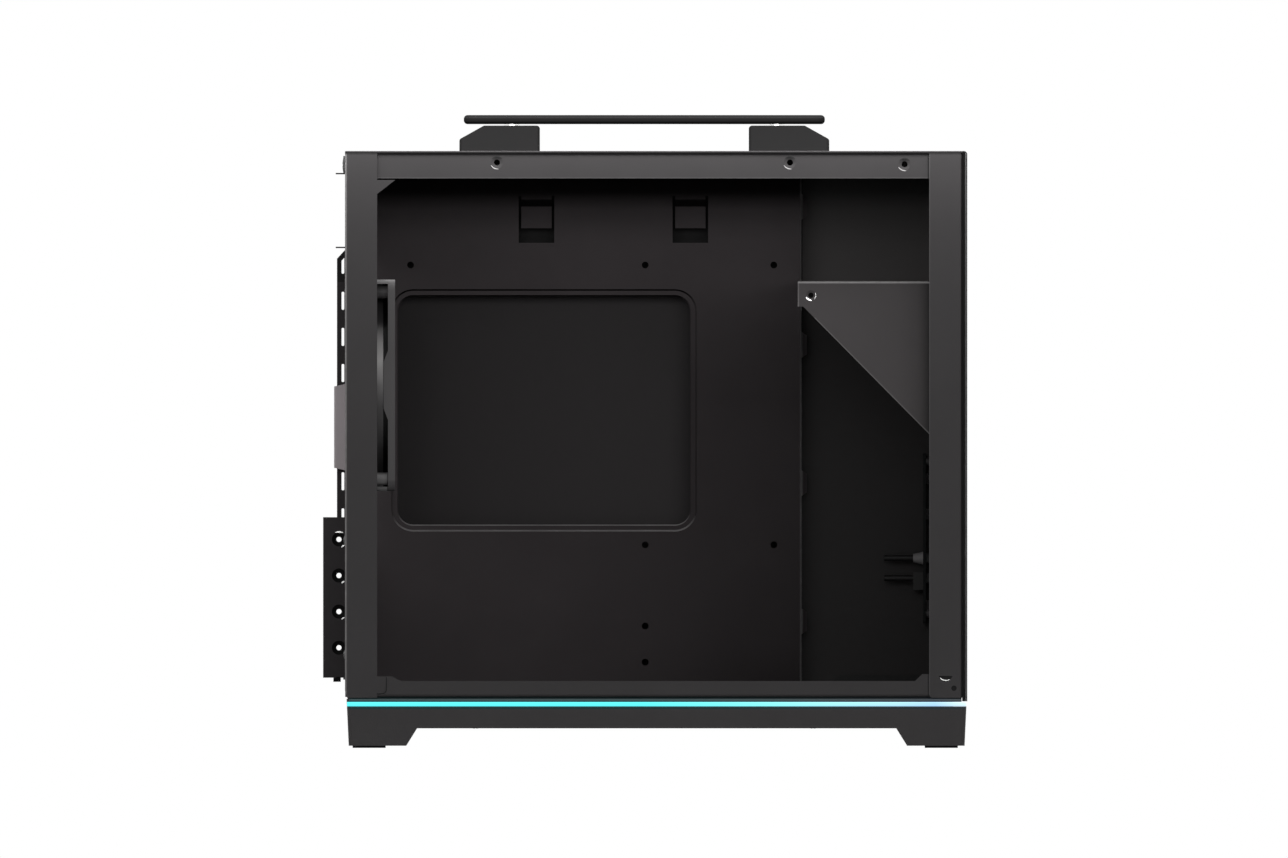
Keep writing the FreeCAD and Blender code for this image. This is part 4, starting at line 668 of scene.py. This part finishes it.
def fan_moulding(name):
    """Fan frame's plastic: painted highlights on the ring, the lower corners and the upper edge,
    and painted shade in a black groove.

    The groove lies beside the inner flange.
    """
    rim, top_highlight = 0.1 * mm, 2.0 * mm
    corner_start, corner_full, corner_middle, corner_half = 10.5 * mm, 9 * mm, 0.6, 0.22
    corner_share, groove_middle, groove_half = 0.7, 0.787, 0.055
    painted_light = (0.3, 0.295, 0.295)
    material = coated(name, (0.08, 0.0765, 0.078), roughness=0.45, grain=2600.0, relief=0.15)
    tree = material.node_tree
    _, x, y, z = position(tree)
    low, high = limits("fan_frame")
    middle, half = (low + high) / 2, (high - low) / 2
    on_ring = below(tree, from_axis(tree, y, z, middle[1:]), half[1] - rim)
    along, up = share_of(tree, x, low[0], high[0]), share_of(tree, z, low[2], high[2])
    # painted highlight on the ring
    highlight = levels_over(tree, up, (0.0, 0.0), (0.2, 0.0), (0.38, 0.1), (0.5, 0.25),
                         (0.62, 1.0), (0.7, 0.8), (0.8, 0.0), (1.0, 0.0))
    recoloured(material, overlap(tree, highlight, on_ring), (0.42, 0.41, 0.41))
    # painted highlight on the lower corners
    corner = overlap(tree, share_of(tree, z, low[2] + corner_start, low[2] + corner_full),
                     around(tree, along, corner_middle, corner_half), corner_share)
    recoloured(material, corner, painted_light)
    # painted shade in the groove
    groove = around(tree, along, groove_middle, groove_half)
    recoloured(material, overlap(tree, groove, on_ring), black)
    # painted highlight along the upper edge
    paint_edge_light(material, painted_light, top_highlight, z=high[2])
    return material


finishes = {
    "dark_steel": frame_coat("steel_powder_coat"),
    "dark_cover": cover_coat("cover_powder_coat"),
    "grey_grip": coated("grip_paint", (0.44, 0.4, 0.415), roughness=0.45),
    "smoked_glass": tinted_glass("tinted_pane"),
    "dark_plastic": matt_moulding("matt_moulding"),
    "fan_plastic": coated("satin_moulding", (0.03, 0.03, 0.03), roughness=0.4, grain=3000.0),
    "winding": coated("copper_wire", (0.55, 0.24, 0.1), roughness=0.35, grain=900.0,
                      metallic=1.0),
    "handle_coat": coated("handle_coat", (0.024, 0.0232, 0.0235), roughness=0.5),
    "circuit_board": coated("board_lacquer", (0.006, 0.0065, 0.0065), roughness=0.5,
                            mottle=0.25, specular=0.05),
    "light_diffuser": lit_diffuser("lit_diffuser"),
    "button_plastic": coated("button_moulding", (0.06, 0.06, 0.06), roughness=0.35, grain=3000.0),
    "port_shell": coated("blackened_shell", (0.012, 0.012, 0.012), roughness=0.45),
    "lead_cover": lead_jacket("lead_jacket"),
    "contact_metal": coated("plated_contact", (0.75, 0.68, 0.5), roughness=0.25, metallic=1.0),
    "pad_rubber": coated("pad_rubber", (0.025, 0.025, 0.025), roughness=0.8, grain=1200.0,
                         relief=0.3),
    "screw_steel": coated("black_oxide", (0.1, 0.1, 0.1), roughness=0.35, metallic=1.0),
    "filter_mesh": woven_filter("woven_filter"),
    "dull_steel": coated("dull_plate", (0.42, 0.41, 0.41), roughness=0.4, metallic=1.0),
    "bright_steel": coated("bright_plate", (0.85, 0.85, 0.84), roughness=0.2, metallic=1.0),
}
special = {
    "base": glowing_moulding("plinth_moulding"),
    "board_tray": tray_coat("tray_powder_coat"),
    "slot_clamp": clamp_coat("clamp_powder_coat"),
    "psu_bracket": bracket_coat("bracket_powder_coat"),
    "right_panel": side_panel_coat("panel_powder_coat"),
    "handle_bar": bar_coat("bar_coat"),
    "fan_frame": fan_moulding("fan_moulding"),
    "handle_washers": coated("polished_plate", (0.96, 0.96, 0.95), roughness=0.05, spread=0.02,
                             relief=0.0, metallic=1.0),
}
inner_steel = steel_sheet("inner_powder_coat", (0.052, 0.0475, 0.049), roughness=0.65,
                          specular=0.05)
for node in ("inlet_plate", "slot_cover_1", "slot_cover_2", "slot_cover_3", "slot_cover_4"):
    special[node] = inner_steel
for entry in frame["record"]["subparts"]:
    piece = cad[entry["node"]]
    piece.data.materials.clear()
    piece.data.materials.append(special.get(entry["node"], finishes[entry["material_slot"]]))


# Small pieces that the solids leave out

def lay(name, grids, finish, body="chassis", smooth=True):
    """Closed piece from grids of points (rows, columns, xyz).

    Each row is a ring, neighbours become quads, and the end rows get flat caps.
    """
    points, quads, caps = [], [], []
    count = 0
    for grid in grids:
        rows, columns = grid.shape[:2]
        index = count + np.arange(rows * columns).reshape(rows, columns)
        ahead = np.roll(index, -1, axis=1)
        sides = np.stack([index[:-1], ahead[:-1], ahead[1:], index[1:]], axis=-1)
        quads += sides.reshape(-1, 4).tolist()
        caps += [index[0, ::-1].tolist(), index[-1].tolist()]
        points.append(grid.reshape(-1, 3))
        count += rows * columns
    mesh = bpy.data.meshes.new(name)
    mesh.from_pydata(np.concatenate(points).tolist(), [], quads + caps)
    rounded = np.arange(len(mesh.polygons)) < len(quads) * smooth
    mesh.polygons.foreach_set("use_smooth", rounded)
    mesh.materials.append(finish)
    piece = bpy.data.objects.new(name, mesh)
    bpy.context.collection.objects.link(piece)
    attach(piece, body)


def ring_points(axis, centre, radius, along):
    """Points round an axis: radius and place along it are arrays of (rows, columns)."""
    turn = np.linspace(0, 2 * np.pi, radius.shape[1], endpoint=False)
    u, v = centre[0] + radius * np.cos(turn), centre[1] + radius * np.sin(turn)
    order = {"x": (along, u, v), "z": (u, v, along)}
    return np.stack(np.broadcast_arrays(*order[axis]), axis=-1)


def screw_crown(axis, centre, radius, face, dome):
    """Domed screw head with a cross recess, facing the axis's low end.

    The height over the face is dome * (1 - (r/R)^2), less 0.92 of it in a cross whose arms
    are 0.22 R wide and 1.1 R long; its walls fall over 0.08 R.
    """
    rows, columns, middle = 20, 64, 0.02
    half_width, half_length, wall, depth = 0.11 * radius, 0.55 * radius, 0.08 * radius, 0.92
    reach = np.linspace(middle, 1.0, rows)[:, None] * radius
    reach = np.broadcast_to(reach, (rows, columns))
    turn = np.linspace(0, 2 * np.pi, columns, endpoint=False)[None, :]
    u, v = np.abs(reach * np.cos(turn)), np.abs(reach * np.sin(turn))

    def arm(across, length):
        """Share of the recess's depth in one arm of the cross."""
        side = np.clip((half_width - across) / wall + 0.5, 0, 1)
        end = np.clip((half_length - length) / wall + 0.5, 0, 1)
        return side * end

    cross = np.maximum(arm(u, v), arm(v, u))
    height = dome * (1 - (reach / radius) ** 2) * (1 - depth * cross)
    return ring_points(axis, centre, reach, face - height)


def corners(node, axis, radius):
    """Middles of a node's outermost screws, across an axis, from its box and the head's radius.

    They are rounded to a micrometre, so that equal places count once.
    """
    low, high = limits(node)
    places = [sorted({round(low[a] + radius, 6), round(high[a] - radius, 6)})
              for a in range(3) if "xyz"[a] != axis]
    return [(p, q) for p in places[0] for q in places[1]]


def add_screw_crowns():
    """Cross-recess heads on the screws that can be seen from outside or below."""
    inset, dome = 0.01 * mm, 0.5 * mm
    heads = (("fan_screws", "x", 3.9, 3.2), ("clamp_screws", "x", 2.9, 2.3),
             ("panel_screws", "x", 4.9, 4.0), ("base_screws", "z", 3.8, 2.9))
    grids = []
    for node, axis, radius, crown in heads:
        face = limits(node)[0]["xyz".index(axis)]
        for centre in corners(node, axis, radius * mm):
            grids.append(screw_crown(axis, centre, crown * mm, face + inset, dome))
    lay("screw_crowns", grids, finishes["screw_steel"])


def add_knurled_rims():
    """Knurled rims of the side panel's screws: radius R + a (1 + cos(36 t)) on the rim.

    The rows run from the face, over its rounded edge and along the rim to the seat.
    """
    head, rim, knurls, height, columns = 4.9 * mm, 4.92 * mm, 36, 0.11 * mm, 288
    turn = np.linspace(0, 2 * np.pi, columns, endpoint=False)[None, :]
    knurl = height * (1 + np.cos(knurls * turn))
    inset = np.array([1.0, 0.1, 0.0, 0.0, 0.35])[:, None] * mm
    radius = rim - inset + knurl * (inset == 0)
    along = np.array([0.03, 0.03, 0.12, 2.1, 2.4])[:, None] * mm
    along = np.broadcast_to(limits("panel_screws")[0][0] + along, radius.shape)
    grids = [ring_points("x", centre, radius, along)
             for centre in corners("panel_screws", "x", head)]
    lay("knurled_rims", grids, finishes["screw_steel"])


def arc_glint(centre, face, radius, width, start, end):
    """Sliver let into a face along an arc, whose width w * sqrt(sin(pi s)) falls to both ends.

    Each row is a cross-section of four corners, from a little in front of the face to a
    little behind it.
    """
    rows, tip, front, back = 40, 0.01 * mm, -0.03, 0.1
    share = np.linspace(0.0, 1.0, rows)[:, None]
    turn = np.radians(start + (end - start) * share)
    taper = tip + width * np.sqrt(np.abs(np.sin(np.pi * share)))
    reach = radius - taper * np.array([1, 0, 0, 1])
    level = np.broadcast_to(face + np.array([front, front, back, back]) * mm, reach.shape)
    return np.stack([centre[0] + reach * np.cos(turn), level,
                     centre[1] + reach * np.sin(turn)], axis=-1)


def add_hole_glints():
    """Slivers in the sheets' holes: painted highlights as bright metal, and painted shade as dark
    rubber at the rail's sockets.

    They lie at the rail's sockets, the gusset's hole, the front post's cut and the clamp's cups.
    """
    hole_from_rear, hole_from_top = 7.4 * mm, 20.2 * mm
    plate_fold, cut_depth = 1 * mm, 0.06 * mm
    rail, roof = limits("top_frame")
    sockets = [(along * mm, roof[2] - drop * mm)
               for along, drop in ((-83.4, 5.3), (81.5, 5.3), (146.0, 6.3))]
    # painted highlights on the sockets' lower rims
    glints = [arc_glint(place, rail[1], radius=3.8 * mm, width=0.5 * mm, start=203, end=285)
            for place in sockets]
    # painted shade in the sockets' upper halves
    shades = [arc_glint(place, rail[1], radius=3.6 * mm, width=0.7 * mm, start=38, end=142)
              for place in sockets]
    lay("socket_glints", glints, finishes["dull_steel"], smooth=False)
    lay("socket_shade", shades, finishes["pad_rubber"], smooth=False)
    shelf, top = limits("psu_bracket")
    hole = (shelf[0] + hole_from_rear, top[2] - hole_from_top)
    post = limits("front_frame")[0][1] + cut_depth
    plate = limits("slot_clamp")[1][1] - plate_fold
    cups = [clamp_cup(row) for row in range(1, 4)]
    # painted highlights at the gusset's hole, the post's cut and the clamp's cups
    grids = [arc_glint(hole, shelf[1], radius=3.05 * mm, width=0.9 * mm, start=198, end=280),
             arc_glint(hole, shelf[1], radius=2.8 * mm, width=0.16 * mm, start=-50, end=35),
             arc_glint(post_cut(), post, radius=4.25 * mm, width=0.5 * mm, start=203, end=305),
             arc_glint(cups[-1], plate, radius=4.6 * mm, width=0.8 * mm, start=55, end=120)]
    grids += [arc_glint(cup, plate, radius=4.7 * mm, width=0.8 * mm, start=-72, end=-45)
              for cup in cups]
    lay("hole_glints", grids, finishes["bright_steel"], smooth=False)


add_screw_crowns()
add_knurled_rims()
add_hole_glints()


# Stage: floor, world, lamps and camera

def white_for_views(tree, target, strength):
    """Strength that is plain white for camera, mirror and glass rays, and as given for light."""
    path = tree.nodes.new("ShaderNodeLightPath").outputs
    seen = calc(tree, "MAXIMUM", path["Is Camera Ray"], path["Is Transmission Ray"])
    seen = calc(tree, "MAXIMUM", seen, path["Is Glossy Ray"])
    feed(tree, target, spread_over(tree, seen, strength, 1.0))


def floor_paint(name):
    """Pale matt paint that sends little of the light back up."""
    material = coated(name, (0.82, 0.82, 0.82), roughness=0.7, grain=300.0, mottle=0.01)
    path = material.node_tree.nodes.new("ShaderNodeLightPath").outputs
    recoloured(material, path["Is Diffuse Ray"], (0.3, 0.3, 0.3))
    return material


def lamp(name, place, turn, size, power):
    """Soft rectangular lamp that doesn't show itself."""
    light = bpy.data.lights.new(name, "AREA")
    light.shape = "RECTANGLE"
    light.size, light.size_y = size
    light.energy = power
    holder = bpy.data.objects.new(name, light)
    holder.location = place
    holder.rotation_euler = np.radians(turn)
    holder.visible_camera = False
    bpy.context.collection.objects.link(holder)


def make_stage():
    """Pale floor, white world, soft lamps and a square-on camera without perspective."""
    floor_reach, world_light = 6.0, 0.2
    edges = np.array([(-1, -1, 0), (1, -1, 0), (1, 1, 0), (-1, 1, 0)]) * floor_reach
    plane = bpy.data.meshes.new("floor")
    plane.from_pydata(edges.tolist(), [], [(0, 1, 2, 3)])
    floor = bpy.data.objects.new("floor", plane)
    bpy.context.collection.objects.link(floor)
    plane.materials.append(floor_paint("floor_paint"))

    world = bpy.data.worlds.new("studio")
    bpy.context.scene.world = world
    world.use_nodes = True
    background = world.node_tree.nodes["Background"].inputs
    background["Color"].default_value = (1, 1, 1, 1)
    white_for_views(world.node_tree, background["Strength"], world_light)

    lamp("front_lamp", place=(0.0, -2.0, 0.5), turn=(90, 0, 0), size=(2.4, 0.36), power=11.8)
    lamp("edge_lamp", place=(0.0, -0.135, 0.385), turn=(0, 0, 0), size=(1.2, 0.03), power=1.45)
    lamp("back_lamp", place=(0.0, 1.8, 1.8), turn=(-45, 0, 0), size=(2.4, 1.2), power=20.0)

    lens = bpy.data.cameras.new("camera")
    lens.type = "ORTHO"
    lens.ortho_scale = 0.725
    camera = bpy.data.objects.new("camera", lens)
    camera.location = (-0.00068, -3.0, 0.1795)
    camera.rotation_euler = (np.pi / 2, 0, 0)
    bpy.context.collection.objects.link(camera)
    bpy.context.scene.camera = camera
    bpy.context.scene.view_settings.view_transform = "Standard"


make_stage()
